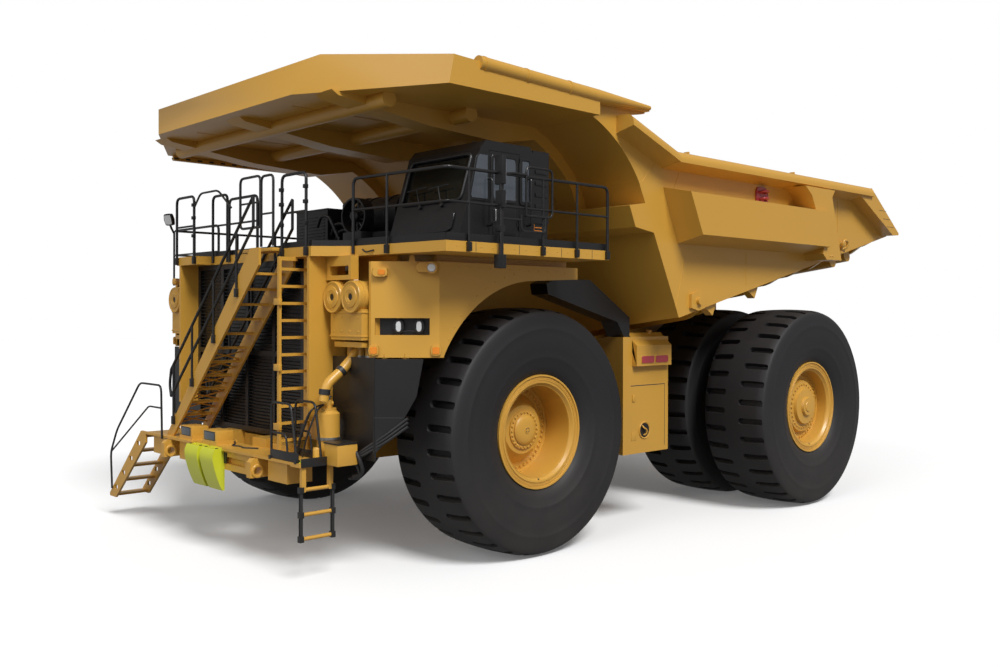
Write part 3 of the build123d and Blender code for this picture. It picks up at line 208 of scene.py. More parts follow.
# %% Finish table
# name: light tone, dark tone, cloud scale, grain scale, roughness pair, bump in metres, dust, metallic, coat
FINISHES = {
    "ochre paint": ((0.625, 0.335, 0.048), (0.600, 0.315, 0.042), 0.5, 45, (0.36, 0.46), 0.0004, 0.10, 0.0, 0.25),
    "black paint": ((0.0085, 0.0083, 0.0092), (0.006, 0.006, 0.007), 0.8, 60, (0.34, 0.46), 0.0003, 0.08, 0.0, 0.15),
    "tyre rubber": ((0.0125, 0.0115, 0.0133), (0.0095, 0.0088, 0.0103), 1.3, 90, (0.55, 0.68), 0.0016, 0.10, 0.0, 0.0),
    "dark trim": ((0.045, 0.046, 0.048), (0.035, 0.036, 0.038), 2.0, 220, (0.55, 0.7), 0.0008, 0.0, 0.0, 0.0),
    "polished rod": ((0.78, 0.78, 0.8), (0.7, 0.7, 0.72), 3.0, 300, (0.12, 0.22), 0.0001, 0.0, 1.0, 0.0),
    "zinc plate": ((0.45, 0.45, 0.44), (0.35, 0.35, 0.34), 5.0, 200, (0.35, 0.5), 0.0003, 0.0, 1.0, 0.0),
    "signal yellow": ((0.66, 0.69, 0.03), (0.6, 0.63, 0.025), 1.2, 60, (0.3, 0.4), 0.0003, 0.06, 0.0, 0.3),
    "red reflector": ((0.42, 0.035, 0.05), (0.35, 0.03, 0.04), 9.0, 90, (0.2, 0.3), 0.0006, 0.0, 0.0, 0.5),
    "amber lens": ((0.85, 0.28, 0.02), (0.7, 0.2, 0.015), 9.0, 90, (0.15, 0.25), 0.0006, 0.0, 0.0, 0.5),
    "lamp lens": ((0.82, 0.83, 0.84), (0.7, 0.71, 0.72), 9.0, 40, (0.1, 0.2), 0.001, 0.0, 0.2, 0.5),
    "grey glass": ((0.085, 0.098, 0.115), (0.06, 0.07, 0.085), 6.0, 40, (0.08, 0.16), 0.0006, 0.0, 0.0, 0.5),
    "seat cloth": ((0.05, 0.052, 0.056), (0.04, 0.041, 0.045), 2.0, 380, (0.8, 0.95), 0.001, 0.0, 0.0, 0.0),
    "hose rubber": ((0.022, 0.022, 0.023), (0.016, 0.016, 0.017), 3.0, 160, (0.42, 0.55), 0.0006, 0.05, 0.0, 0.0)}
DUST_TONE = (0.30, 0.26, 0.20, 1)


def skinned(name, light, dark, cloud, grain, rough):
    """A Principled material whose tones and roughness come from the skin group."""
    material = bpy.data.materials.new(name)
    material.use_nodes = True
    tree = material.node_tree
    shader = tree.nodes["Principled BSDF"].inputs
    skin = tree_node(tree, "ShaderNodeGroup", node_tree=SKIN, Light_Tone=(*light, 1), Dark_Tone=(*dark, 1),
        Cloud_Scale=cloud, Grain_Scale=grain, Low_Roughness=rough[0], High_Roughness=rough[1]).outputs
    feed(tree, shader["Roughness"], skin["Roughness"])
    return material, tree, shader, skin


def make_finish(name, light, dark, cloud, grain, rough, bump, dust, metallic, coat):
    """A skinned material with dust and a fine relief."""
    material, tree, shader, skin = skinned(name, light, dark, cloud, grain, rough)
    cover = tree_node(tree, "ShaderNodeGroup", node_tree=DUST, Dust_Colour=DUST_TONE, Amount=dust,
        Colour_In=skin["Colour"])
    relief = tree_node(tree, "ShaderNodeBump", Distance=bump, Strength=0.6, Height=skin["Height"])
    for label, value in (("Base Color", cover.outputs["Colour"]), ("Normal", relief.outputs["Normal"]),
            ("Metallic", metallic), ("Coat Weight", coat), ("Coat Roughness", 0.25)):
        feed(tree, shader[label], value)
    return material


MATERIALS = {name: make_finish(name, *row) for name, row in FINISHES.items()}
print("finishes:", ", ".join(MATERIALS))

# %% [markdown]
# ## Glass
# The cab's panes are dark tinted safety glass. A thin sheet could be a full glass shader; a mostly clear,
# low-roughness Principled with plain transmission keeps the cab's inside faintly visible behind the sky's reflection.

# %% Tinted glass
def make_glass():
    material, tree, shader, skin = skinned("tinted glass", (0.055, 0.062, 0.052), (0.045, 0.052, 0.044), 1.5, 8.0,
        (0.02, 0.06))
    for label, value in (("Base Color", skin["Colour"]), ("Transmission Weight", 0.85), ("IOR", 1.45)):
        feed(tree, shader[label], value)
    return material


MATERIALS["tinted glass"] = make_glass()

# %% [markdown]
# ## Paint the solid pieces
# The record names a slot for each node. Most nodes take the finish of their slot, so the table below is short.

# %% Assign finishes
SLOT_FINISH = {"yellow": "ochre paint", "black": "black paint", "tyre": "tyre rubber", "trim": "dark trim",
    "glass": "tinted glass", "chrome_rod": "polished rod", "chock": "signal yellow"}
node_slots = {row["node"]: row["material_slot"] for row in frame["record"]["subparts"]}


def paint(node, finish):
    node_object = NODES[node]
    node_object.data.materials.clear()
    node_object.data.materials.append(MATERIALS[finish])


for node_name in NODES:
    paint(node_name, SLOT_FINISH[node_slots[node_name]])
print("painted", len(NODES), "nodes")

# %% [markdown]
# ## The floor and the light
# A wide pale floor takes the shadow. It is white where the camera looks at it, so its shader adds a little
# white of its own for camera, glossy and transmitted rays only, and the truck is lit by the lamps alone.

# %% Stage
FLOOR_HALF, GLOW_SHARE = 120.0, 0.10


def make_floor():
    mesh = bpy.data.meshes.new("floor")
    h = FLOOR_HALF
    mesh.from_pydata([(-h, -h, 0), (h, -h, 0), (h, h, 0), (-h, h, 0)], [], [(0, 1, 2, 3)])
    floor = put("floor", mesh)
    material = bpy.data.materials.new("pale floor")
    material.use_nodes = True
    tree = material.node_tree
    tree.nodes.clear()
    ray = tree_node(tree, "ShaderNodeLightPath").outputs
    tone = tree_node(tree, "ShaderNodeMix", data_type="RGBA", Factor=ray["Is Camera Ray"],
        A=(0.22, 0.22, 0.22, 1), B=(0.88, 0.88, 0.88, 1))
    diffuse = tree_node(tree, "ShaderNodeBsdfDiffuse", Color=tone.outputs["Result"])
    seen = tree_math(tree, "MAXIMUM", ray["Is Camera Ray"], ray["Is Glossy Ray"])
    seen = tree_math(tree, "MAXIMUM", seen, ray["Is Transmission Ray"])
    glow = tree_node(tree, "ShaderNodeEmission", Color=(1, 1, 1, 1),
        Strength=tree_math(tree, "MULTIPLY", seen, GLOW_SHARE))
    add = tree_node(tree, "ShaderNodeAddShader")
    for socket, part in zip(add.inputs, (diffuse, glow)):
        feed(tree, socket, part.outputs[0])
    tree_node(tree, "ShaderNodeOutputMaterial", Surface=add.outputs[0])
    mesh.materials.append(material)
    return floor


def make_world():
    world = bpy.data.worlds.new("studio")
    bpy.context.scene.world = world
    world.use_nodes = True
    tree = world.node_tree
    tree.nodes.clear()
    ray = tree_node(tree, "ShaderNodeLightPath").outputs
    soft = tree_node(tree, "ShaderNodeBackground", Color=(1, 1, 1, 1), Strength=0.30)
    white = tree_node(tree, "ShaderNodeBackground", Color=(1, 1, 1, 1), Strength=1.0)
    mix = tree_node(tree, "ShaderNodeMixShader")
    for socket, value in zip(mix.inputs, (ray["Is Camera Ray"], soft.outputs[0], white.outputs[0])):
        feed(tree, socket, value)
    tree_node(tree, "ShaderNodeOutputWorld", Surface=mix.outputs[0])


def make_sun(name, strength, spread, from_side, height):
    """A sun whose light comes from a compass side, in degrees from +X, and a height above the floor."""
    data = bpy.data.lights.new(name, "SUN")
    data.energy = strength
    data.angle = math.radians(spread)
    lamp = put(name, data)
    side, lift = math.radians(from_side), math.radians(height)
    toward = Vector((math.cos(lift) * math.cos(side), math.cos(lift) * math.sin(side), math.sin(lift)))
    lamp.rotation_euler = toward.to_track_quat("Z", "Y").to_euler()
    return lamp


make_floor()
make_world()
make_sun("key", 2.9, 22, 74, 48)
make_sun("front_fill", 0.8, 40, 8, 28)
print("stage and lights made")

# %% [markdown]
# ## Tyres
# A haul truck's tyre is a smooth balloon with short, deep slots cut across each shoulder, and a plain rib between them.
# The slots on one shoulder sit halfway between the slots on the other. One slot's width of tyre is built as a
# small patch, because its rounded slot needs edges that follow it. Geometry Nodes then turn copies of the patch
# round the axle, so the tread stays even, and the count can be changed in one place.

# %% Tyre sizes
SLOTS = 34
SLOT_HALF = 0.060
SLOT_FROM, SLOT_TO = 0.15, 0.627
SLOT_DEPTH = 0.10
SLOT_WALL = 0.012
# radius and offset of the half section, from the bead out to the middle of the crown
SIDEWALL = [(0.802, 0.545), (0.902, 0.545), (0.93, 0.566), (0.955, 0.585), (0.985, 0.612), (1.03, 0.64),
    (1.10, 0.668), (1.20, 0.695), (1.215, 0.703), (1.23, 0.701), (1.33, 0.722), (1.45, 0.733), (1.56, 0.735),
    (1.66, 0.730), (1.675, 0.734), (1.69, 0.729), (1.78, 0.718), (1.85, 0.704), (1.888, 0.694), (1.915, 0.684)]
SHOULDER_R, SHOULDER_Y = 1.950, 0.664
CROWN_R = 2.012


def crown_radius(y):
    """Radius of the tread face at an offset: nearly flat, then rounded down to the shoulder."""
    flat = 0.48
    if abs(y) <= flat:
        return CROWN_R - 0.018 * (abs(y) / flat) ** 2
    share = (abs(y) - flat) / (SHOULDER_Y - flat)
    return CROWN_R - 0.018 - (CROWN_R - 0.018 - SHOULDER_R) * share ** 2.2


print("one slot every", round(360 / SLOTS, 2), "degrees")

# %% [markdown]
# The tread repeats one slot all the way round, so only one patch of it is built. A patch holds half a slot
# on each side and reaches from the middle of the tread to the bead. The two halves are turned half a step.

# %% One patch of tread
def patch_side(side, shift):
    """Half of a patch, as strips of (radius, offset, angle) points with the slot at the angle shift."""
    pitch = 2 * math.pi / SLOTS
    faces = []

    def spot(y, arc, sink=0.0):
        radius = crown_radius(y) - sink
        return (radius, side * y, shift + arc / CROWN_R)

    def strip(low, high):
        for a, b, c, d in zip(low, low[1:], high[1:], high):
            faces.append([a, b, c, d])

    half = pitch * CROWN_R / 2
    round_at = SLOT_FROM + SLOT_HALF
    rows = [SLOT_TO, 0.585, 0.54, 0.48, 0.42, 0.36, 0.31, 0.26, round_at]
    turn = [(round_at - SLOT_HALF * math.sin(a), SLOT_HALF * math.cos(a)) for a in (0.35, 0.7, 1.05, 1.35)]
    open_end = [(SLOT_TO + SLOT_HALF * 0.55 * math.sin(a), SLOT_HALF * math.cos(a)) for a in (1.35, 0.9, 0.45)]
    outline = [*open_end, *[(y, SLOT_HALF) for y in rows], *turn]
    for sign in (-1, 1):
        edge = [spot(y, sign * w) for y, w in outline]
        outer = [spot(y, sign * half) for y, w in outline]
        middle = [spot(y, sign * (w + half) / 2) for y, w in outline]
        strip(outer, middle)
        strip(middle, edge)
        floor = [spot(min(max(y, SLOT_FROM + SLOT_WALL), SLOT_TO + 0.02), sign * max(w - SLOT_WALL, 0), SLOT_DEPTH)
            for y, w in outline]
        centre = [(r, y, shift) for r, y, a in floor]
        strip(edge, floor)
        strip(floor, centre)
        tip, tail = spot(SLOT_FROM, 0), spot(SLOT_TO + SLOT_HALF * 0.55, 0)
        low_tip, low_tail = spot(SLOT_FROM + SLOT_WALL, 0, SLOT_DEPTH), spot(SLOT_TO + 0.02, 0, SLOT_DEPTH)
        faces.append([edge[-1], tip, low_tip, floor[-1]])
        faces.append([floor[-1], low_tip, centre[-1]])
        faces.append([tail, edge[0], floor[0], low_tail])
        far = spot(SLOT_FROM, sign * half)
        mid = spot(SLOT_FROM, sign * half / 2)
        faces.append([outer[-1], middle[-1], mid, far])
        faces.append([middle[-1], edge[-1], tip, mid])
        side_far, side_mid = spot(SHOULDER_Y, sign * half), spot(SHOULDER_Y, sign * half / 2)
        side_tip = spot(SHOULDER_Y, 0)
        faces.append([side_far, side_mid, middle[0], outer[0]])
        faces.append([side_mid, side_tip, tail, edge[0]])
        faces.append([side_mid, edge[0], middle[0]])
        for steps in ((SLOT_FROM, 0.10), (0.10, 0.05), (0.05, 0.0)):
            near = [spot(steps[0], sign * part) for part in (half, half / 2, 0)]
            next_row = [spot(steps[1], sign * part) for part in (half, half / 2, 0)]
            strip(near, next_row)
        wall = [(SIDEWALL[0][0], 0.0), *SIDEWALL, (SHOULDER_R, SHOULDER_Y)]
        for (r0, y0), (r1, y1) in zip(wall, wall[1:]):
            arcs = [shift + sign * part / CROWN_R for part in (half, half / 2, 0)]
            strip([(r0, side * y0, arc) for arc in arcs], [(r1, side * y1, arc) for arc in arcs])
    return faces


def patch_mesh(name, side, shift):
    mesh = bmesh.new()
    for face in patch_side(side, shift):
        corners = []
        for radius, offset, angle in face:
            place = Vector((radius * math.sin(angle), offset, radius * math.cos(angle)))
            if all((place - known.co).length > 0.0004 for known in corners):
                corners.append(mesh.verts.new(place))
        if len(corners) > 2:
            mesh.faces.new(corners)
    bmesh.ops.remove_doubles(mesh, verts=mesh.verts[:], dist=0.0004)
    data = bpy.data.meshes.new(name)
    mesh.to_mesh(data)
    mesh.free()
    patch = put(name, data)
    return patch


PITCH_ANGLE = 2 * math.pi / SLOTS
tread_patches = [patch_mesh("tread_patch_outer", 1, 0.0), patch_mesh("tread_patch_inner", -1, PITCH_ANGLE / 2)]
print("patch faces:", [len(patch.data.polygons) for patch in tread_patches])

# %% [markdown]
# A Geometry Nodes tree turns the patch about the axle as many times as there are slots and welds the seams. An
# array modifier could do it too, but a tree has named inputs and works for any count.

# %% Node tree that turns a patch round the axle
def node_tree(name, inputs):
    """An empty Geometry Nodes tree with named inputs; inputs are (name, socket type, default)."""
    tree = bpy.data.node_groups.new(name, "GeometryNodeTree")
    tree.interface.new_socket("Geometry", in_out="OUTPUT", socket_type="NodeSocketGeometry")
    for label, kind, value in inputs:
        socket = tree.interface.new_socket(label, in_out="INPUT", socket_type=kind)
        if value is not None:
            socket.default_value = value
    return tree, tree.nodes.new("NodeGroupInput").outputs, tree.nodes.new("NodeGroupOutput").inputs


def real_and_painted(tree, given, out, copies, merge=None, centre=None):
    """Turns copies into a mesh, welds and moves it where asked, gives it the material and ends the tree."""
    mesh = tree_node(tree, "GeometryNodeRealizeInstances", Geometry=copies).outputs[0]
    if merge:
        mesh = tree_node(tree, "GeometryNodeMergeByDistance", Geometry=mesh, Distance=merge).outputs[0]
        mesh = tree_node(tree, "GeometryNodeTransform", Geometry=mesh, Translation=centre).outputs[0]
    painted = tree_node(tree, "GeometryNodeSetMaterial", Geometry=mesh, Material=given["Material"])
    feed(tree, out[0], painted.outputs[0])
    return tree


def make_ring_tree():
    """Copies of one object, turned about Y through the middle of the ring."""
    tree, given, out = node_tree("ring of copies", [("Part", "NodeSocketObject", None),
        ("Count", "NodeSocketInt", 12), ("Merge", "NodeSocketFloat", 0.0005),
        ("Centre", "NodeSocketVector", (0, 0, 0)), ("Material", "NodeSocketMaterial", None)])
    part = tree_node(tree, "GeometryNodeObjectInfo", Object=given["Part"]).outputs["Geometry"]
    line = tree_node(tree, "GeometryNodeMeshLine", mode="OFFSET", Offset=(0, 0, 0), Count=given["Count"])
    index = tree_node(tree, "GeometryNodeInputIndex").outputs[0]
    angle = tree_math(tree, "MULTIPLY", index, tree_math(tree, "DIVIDE", 2 * math.pi, given["Count"]))
    spin = tree_node(tree, "ShaderNodeCombineXYZ", Y=angle).outputs[0]
    copies = tree_node(tree, "GeometryNodeInstanceOnPoints", Points=line.outputs["Mesh"], Instance=part,
        Rotation=spin).outputs[0]
    return real_and_painted(tree, given, out, copies, given["Merge"], given["Centre"])


RING_TREE = make_ring_tree()


def grow(name, tree, finish, **values):
    """Runs a tree with its named inputs and returns the result as a plain mesh."""
    holder = put(name, bpy.data.meshes.new(name))
    modifier = holder.modifiers.new("tree", "NODES")
    modifier.node_group = tree
    values["Material"] = MATERIALS[finish]
    for item in tree.interface.items_tree:
        if item.in_out == "INPUT" and item.name in values:
            modifier[item.identifier] = values[item.name]
    bpy.context.view_layer.update()
    made = holder.evaluated_get(bpy.context.evaluated_depsgraph_get())
    mesh = bpy.data.meshes.new_from_object(made)
    mesh.name = name
    bpy.data.objects.remove(holder)
    return mesh


print("ring tree ready")

# %% [markdown]
# Each wheel body gets its tyres as one mesh. The rear wheels are twins on one hub, so their two tyres share a mesh.
# The mesh is merged from both shoulders, its normals are turned outward, and it then stands in for the plain solid.

# %% Make the tyres
def outward(mesh):
    """Merges doubles and turns every face to the outside."""
    work = bmesh.new()
    work.from_mesh(mesh)
    bmesh.ops.remove_doubles(work, verts=work.verts[:], dist=0.0005)
    bmesh.ops.recalc_face_normals(work, faces=work.faces[:])
    for face in work.faces:
        face.smooth = True
    for edge in work.edges:
        if len(edge.link_faces) == 2 and edge.calc_face_angle(0) > math.radians(38):
            edge.smooth = False
    work.to_mesh(mesh)
    work.free()


def as_piece(name, meshes, body, replaced=()):
    """Joins meshes into one finished piece that rides on a body, and hides the solids it replaces."""
    work = bmesh.new()
    finishes = []
    for mesh in meshes:
        for material in mesh.materials:
            if material not in finishes:
                finishes.append(material)
        before = len(work.faces)
        work.from_mesh(mesh)
        work.faces.ensure_lookup_table()
        places = [finishes.index(material) for material in mesh.materials]
        for face in work.faces[before:]:
            face.material_index = places[face.material_index] if places else 0
    data = bpy.data.meshes.new(name)
    work.to_mesh(data)
    work.free()
    for material in finishes:
        data.materials.append(material)
    piece = put(name, data)
    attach(piece, body)
    if replaced:
        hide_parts(*replaced)
    print("made", name, "with", len(data.polygons), "faces")
    return piece


def tyre_mesh(name, centre):
    halves = [grow(name, RING_TREE, "tyre rubber", Part=patch, Count=SLOTS, Merge=0.0005, Centre=centre)
        for patch in tread_patches]
    work = bmesh.new()
    for half in halves:
        work.from_mesh(half)
    mesh = bpy.data.meshes.new(name)
    work.to_mesh(mesh)
    work.free()
    for material in halves[0].materials:
        mesh.materials.append(material)
    outward(mesh)
    return mesh


AXLE_Z = 2.014
FRONT_AXLE_X, REAR_AXLE_X = 3.599, -3.596
FRONT_Y, REAR_IN_Y, REAR_OUT_Y = 3.267, 2.2065, 4.0265
for side, word in ((1, "left"), (-1, "right")):
    front = tyre_mesh("tyre", (FRONT_AXLE_X, side * FRONT_Y, AXLE_Z))
    as_piece("tyre_front_" + word, [front], "wheel_front_" + word, ["front_tyre_" + word])
    twins = [tyre_mesh("tyre", (REAR_AXLE_X, side * y, AXLE_Z)) for y in (REAR_IN_Y, REAR_OUT_Y)]
    as_piece("tyres_rear_" + word, twins, "wheels_rear_" + word, ["rear_tyres_" + word])
for patch in tread_patches:
    bpy.data.objects.remove(patch)
print("tyres made, triangles in a front one:", sum(len(p.vertices) - 2 for p in front.polygons))

# %% [markdown]
# ## Shape helpers
# The small parts come from four shapes: a block with broken edges, a section turned about a line, a tube through
# points with rounded corners, and a flat plate cut to an outline. A modifier could do each of these, but a mesh
# built once is lighter and has nothing left to apply. Small repeated parts are placed by one Geometry Nodes tree.

# %% Shape helpers
OCHRE, BLACK, TRIM, HOSE, ZINC = "ochre paint", "black paint", "dark trim", "hose rubber", "zinc plate"
AHEAD, LEFT, UP = (1, 0, 0), (0, 1, 0), (0, 0, 1)


def finished(name, work, finish, sharp=35):
    """Turns a bmesh into a mesh whose faces look outward and whose corners are sharp past an angle."""
    bmesh.ops.remove_doubles(work, verts=work.verts[:], dist=0.00005)
    bmesh.ops.recalc_face_normals(work, faces=work.faces[:])
    for face in work.faces:
        face.smooth = True
    for edge in work.edges:
        if len(edge.link_faces) == 2 and edge.calc_face_angle(0) > math.radians(sharp):
            edge.smooth = False
    mesh = bpy.data.meshes.new(name)
    work.to_mesh(mesh)
    work.free()
    mesh.materials.append(MATERIALS[finish])
    return mesh


def frame_along(direction, hint=UP):
    """A turn that carries +Z onto a direction and keeps +X as level as the hint allows."""
    along = Vector(direction).normalized()
    side = Vector(hint).cross(along)
    if side.length < 0.01:
        side = Vector(AHEAD).cross(along) if abs(along.x) < 0.9 else Vector(LEFT).cross(along)
    side.normalize()
    return Matrix((side, along.cross(side), along)).transposed()


def block(name, low, high, finish, edge=0.006, turn=None):
    """A box between two corners with its edges broken; turn is (angle, axis) about its middle."""
    work = bmesh.new()
    bmesh.ops.create_cube(work, size=1.0)
    size = [b - a for a, b in zip(low, high)]
    middle = Vector([(a + b) / 2 for a, b in zip(low, high)])
    bmesh.ops.scale(work, vec=size, verts=work.verts[:])
    edge = min(edge, min(size) * 0.3)
    bmesh.ops.bevel(work, geom=work.edges[:], offset=edge, segments=2, profile=0.6, affect="EDGES")
    if turn:
        bmesh.ops.rotate(work, matrix=Matrix.Rotation(turn[0], 3, turn[1]), verts=work.verts[:])
    bmesh.ops.translate(work, vec=middle, verts=work.verts[:])
    return finished(name, work, finish)


print("blocks ready")

# %% [markdown]
# Caps, rings and hubs are all turned. A section of (radius, height) points is swung about a line, as on a lathe.

# %% Turned parts
def turned(name, profile, centre, direction, finish, sides=48):
    """Turns (radius, height) points about a line; the loop closes on itself or at radius zero."""
    work = bmesh.new()
    place = frame_along(direction)
    rings = []
    for radius, height in profile:
        if radius < 1e-6:
            rings.append([work.verts.new(Vector(centre) + place @ Vector((0, 0, height)))] * sides)
            continue
        turns = [2 * math.pi * k / sides for k in range(sides)]
        rings.append([work.verts.new(Vector(centre) + place @ Vector((radius * math.cos(a), radius * math.sin(a),
            height))) for a in turns])
    closed = profile[0][0] > 1e-6 and profile[-1][0] > 1e-6
    for low, high in zip(rings, rings[1:] + (rings[:1] if closed else [])):
        for k in range(sides):
            corners = [low[k], low[(k + 1) % sides], high[(k + 1) % sides], high[k]]
            corners = [v for i, v in enumerate(corners) if v not in corners[:i]]
            if len(corners) > 2:
                work.faces.new(corners)
    return finished(name, work, finish)


print("turned parts ready")

# %% [markdown]
# A tube follows points, and each corner is swapped for a short arc, as a pipe bender leaves it. A plate is an
# outline with a thickness.

# %% Tubes and plates
def rounded_path(points, bend):
    points = [Vector(point) for point in points]
    path = [points[0]]
    for a, b, c in zip(points, points[1:], points[2:]):
        reach = min(bend, (a - b).length * 0.48, (c - b).length * 0.48)
        first, last = b + (a - b).normalized() * reach, b + (c - b).normalized() * reach
        for t in (0, 0.25, 0.5, 0.75, 1):
            path.append((1 - t) ** 2 * first + 2 * t * (1 - t) * b + t * t * last)
    return path + [points[-1]]


def tube(name, points, radius, finish, bend=0.06, sides=10):
    """A closed tube through points, its corners rounded over the length bend."""
    path = rounded_path(points, bend)
    work = bmesh.new()
    side = (path[1] - path[0]).orthogonal().normalized()
    rings = []
    for index, spot in enumerate(path):
        along = (path[min(index + 1, len(path) - 1)] - path[max(index - 1, 0)]).normalized()
        side = (side - along * side.dot(along)).normalized()
        up = along.cross(side)
        turns = [2 * math.pi * k / sides for k in range(sides)]
        rings.append([work.verts.new(spot + radius * (math.cos(a) * side + math.sin(a) * up)) for a in turns])
    for low, high in zip(rings, rings[1:]):
        for k in range(sides):
            work.faces.new((low[k], low[k - 1], high[k - 1], high[k]))
    work.faces.new(rings[0])
    work.faces.new(rings[-1])
    return finished(name, work, finish)


def plate(name, outline, centre, direction, thick, finish, edge=0.0, hint=UP):
    """A flat plate: an outline of (across, up) points raised by its thickness along a direction."""
    work = bmesh.new()
    place = frame_along(direction, hint)
    low = [work.verts.new(Vector(centre) + place @ Vector((x, y, 0))) for x, y in outline]
    lift = place @ Vector((0, 0, thick))
    high = [work.verts.new(vert.co + lift) for vert in low]
    work.faces.new(low)
    work.faces.new(high)
    for k in range(len(low)):
        work.faces.new((low[k - 1], low[k], high[k], high[k - 1]))
    if edge:
        bmesh.ops.bevel(work, geom=work.edges[:], offset=edge, segments=1, affect="EDGES")
    return finished(name, work, finish)


print("shape helpers ready")

# %% [markdown]
# Bolts and studs repeat by the hundred. One tree reads a cloud of marked points, puts a small part on each and
# turns it to the facing that is stored there. The part has few faces, because it is repeated so often.

# %% Tree that puts a part on marked points
def make_scatter_tree():
    """Copies of one object on the points of another, each turned to the point's facing."""
    tree, given, out = node_tree("parts on points", [("Points", "NodeSocketObject", None),
        ("Part", "NodeSocketObject", None), ("Size", "NodeSocketFloat", 1.0),
        ("Material", "NodeSocketMaterial", None)])
    marks = tree_node(tree, "GeometryNodeObjectInfo", Object=given["Points"]).outputs["Geometry"]
    part = tree_node(tree, "GeometryNodeObjectInfo", Object=given["Part"]).outputs["Geometry"]
    facing = tree_node(tree, "GeometryNodeInputNamedAttribute", data_type="FLOAT_VECTOR", Name="facing")
    aim = tree_node(tree, "FunctionNodeAlignRotationToVector", axis="Z", Vector=facing.outputs["Attribute"])
    size = tree_node(tree, "ShaderNodeCombineXYZ", X=given["Size"], Y=given["Size"], Z=given["Size"])
    copies = tree_node(tree, "GeometryNodeInstanceOnPoints", Points=marks, Instance=part, Rotation=aim.outputs[0],
        Scale=size.outputs[0]).outputs[0]
    return real_and_painted(tree, given, out, copies)


SCATTER_TREE = make_scatter_tree()


print("scatter tree ready")

# %% [markdown]
# A tree reads objects, so a mesh is first wrapped in one. Rings and rows cover almost every pattern of bolts.

# %% Scatter a part
def as_source(mesh):
    """Wraps a mesh in an object that a tree can copy."""
    source = put(mesh.name, mesh)
    return source


def scatter(name, part, places, finish, size=1.0):
    """Copies of a part on (point, facing) places, as one mesh."""
    marks = bpy.data.meshes.new(name + "_marks")
    marks.from_pydata([tuple(place) for place, facing in places], [], [])
    facing = marks.attributes.new("facing", "FLOAT_VECTOR", "POINT")
    for index, (place, way) in enumerate(places):
        facing.data[index].vector = tuple(way)
    points = as_source(marks)
    mesh = grow(name, SCATTER_TREE, finish, Points=points, Part=part, Size=size)
    bpy.data.objects.remove(points)
    return mesh


def ring_places(centre, direction, radius, count, first=0.0):
    """Evenly spaced (point, facing) places on a circle about a line."""
    place = frame_along(direction)
    turns = [first + 2 * math.pi * k / count for k in range(count)]
    return [(Vector(centre) + place @ Vector((radius * math.cos(a), radius * math.sin(a), 0)), Vector(direction))
        for a in turns]


def row_places(start, end, count, facing):
    start, end = Vector(start), Vector(end)
    return [(start.lerp(end, k / (count - 1)), Vector(facing)) for k in range(count)]


print("places ready")

# %% [markdown]
# Two parts are repeated: a bolt with a washer and a plain stud. Both are one unit across, so a size scales them.

# %% Bolt and stud
# a hex head on a round washer, one unit across the washer, standing on the surface it is placed on
BOLT = as_source(turned("bolt_washer", [(0, -0.05), (0.5, -0.05), (0.5, 0.08), (0.46, 0.12), (0, 0.12)], (0, 0, 0),
    UP, OCHRE, 12))
head = turned("bolt_head", [(0, 0.1), (0.36, 0.1), (0.36, 0.34), (0.3, 0.4), (0, 0.4)], (0, 0, 0), UP, OCHRE, 6)
joined = bmesh.new()
joined.from_mesh(BOLT.data)
joined.from_mesh(head)
joined.to_mesh(BOLT.data)
joined.free()
bpy.data.meshes.remove(head)
# a plain round rivet or plug head
STUD = as_source(turned("stud", [(0, -0.05), (0.5, -0.05), (0.5, 0.12), (0.42, 0.22), (0, 0.28)], (0, 0, 0), UP,
    OCHRE, 10))
print("scatter tree ready; bolt triangles", sum(len(p.vertices) - 2 for p in BOLT.data.polygons))

# %% [markdown]
# ## Wheel details
# A rim is a barrel with a loose outer ring. The ring leaves a set of fine steps between the bright lip and the
# bevel. Deep inside, a ring of nuts holds the rim to its hub, and a cap closes the hub. The steps are turned
# sections, and the nuts are placed by the tree, so a real count can be kept: 46 nuts on each rim.

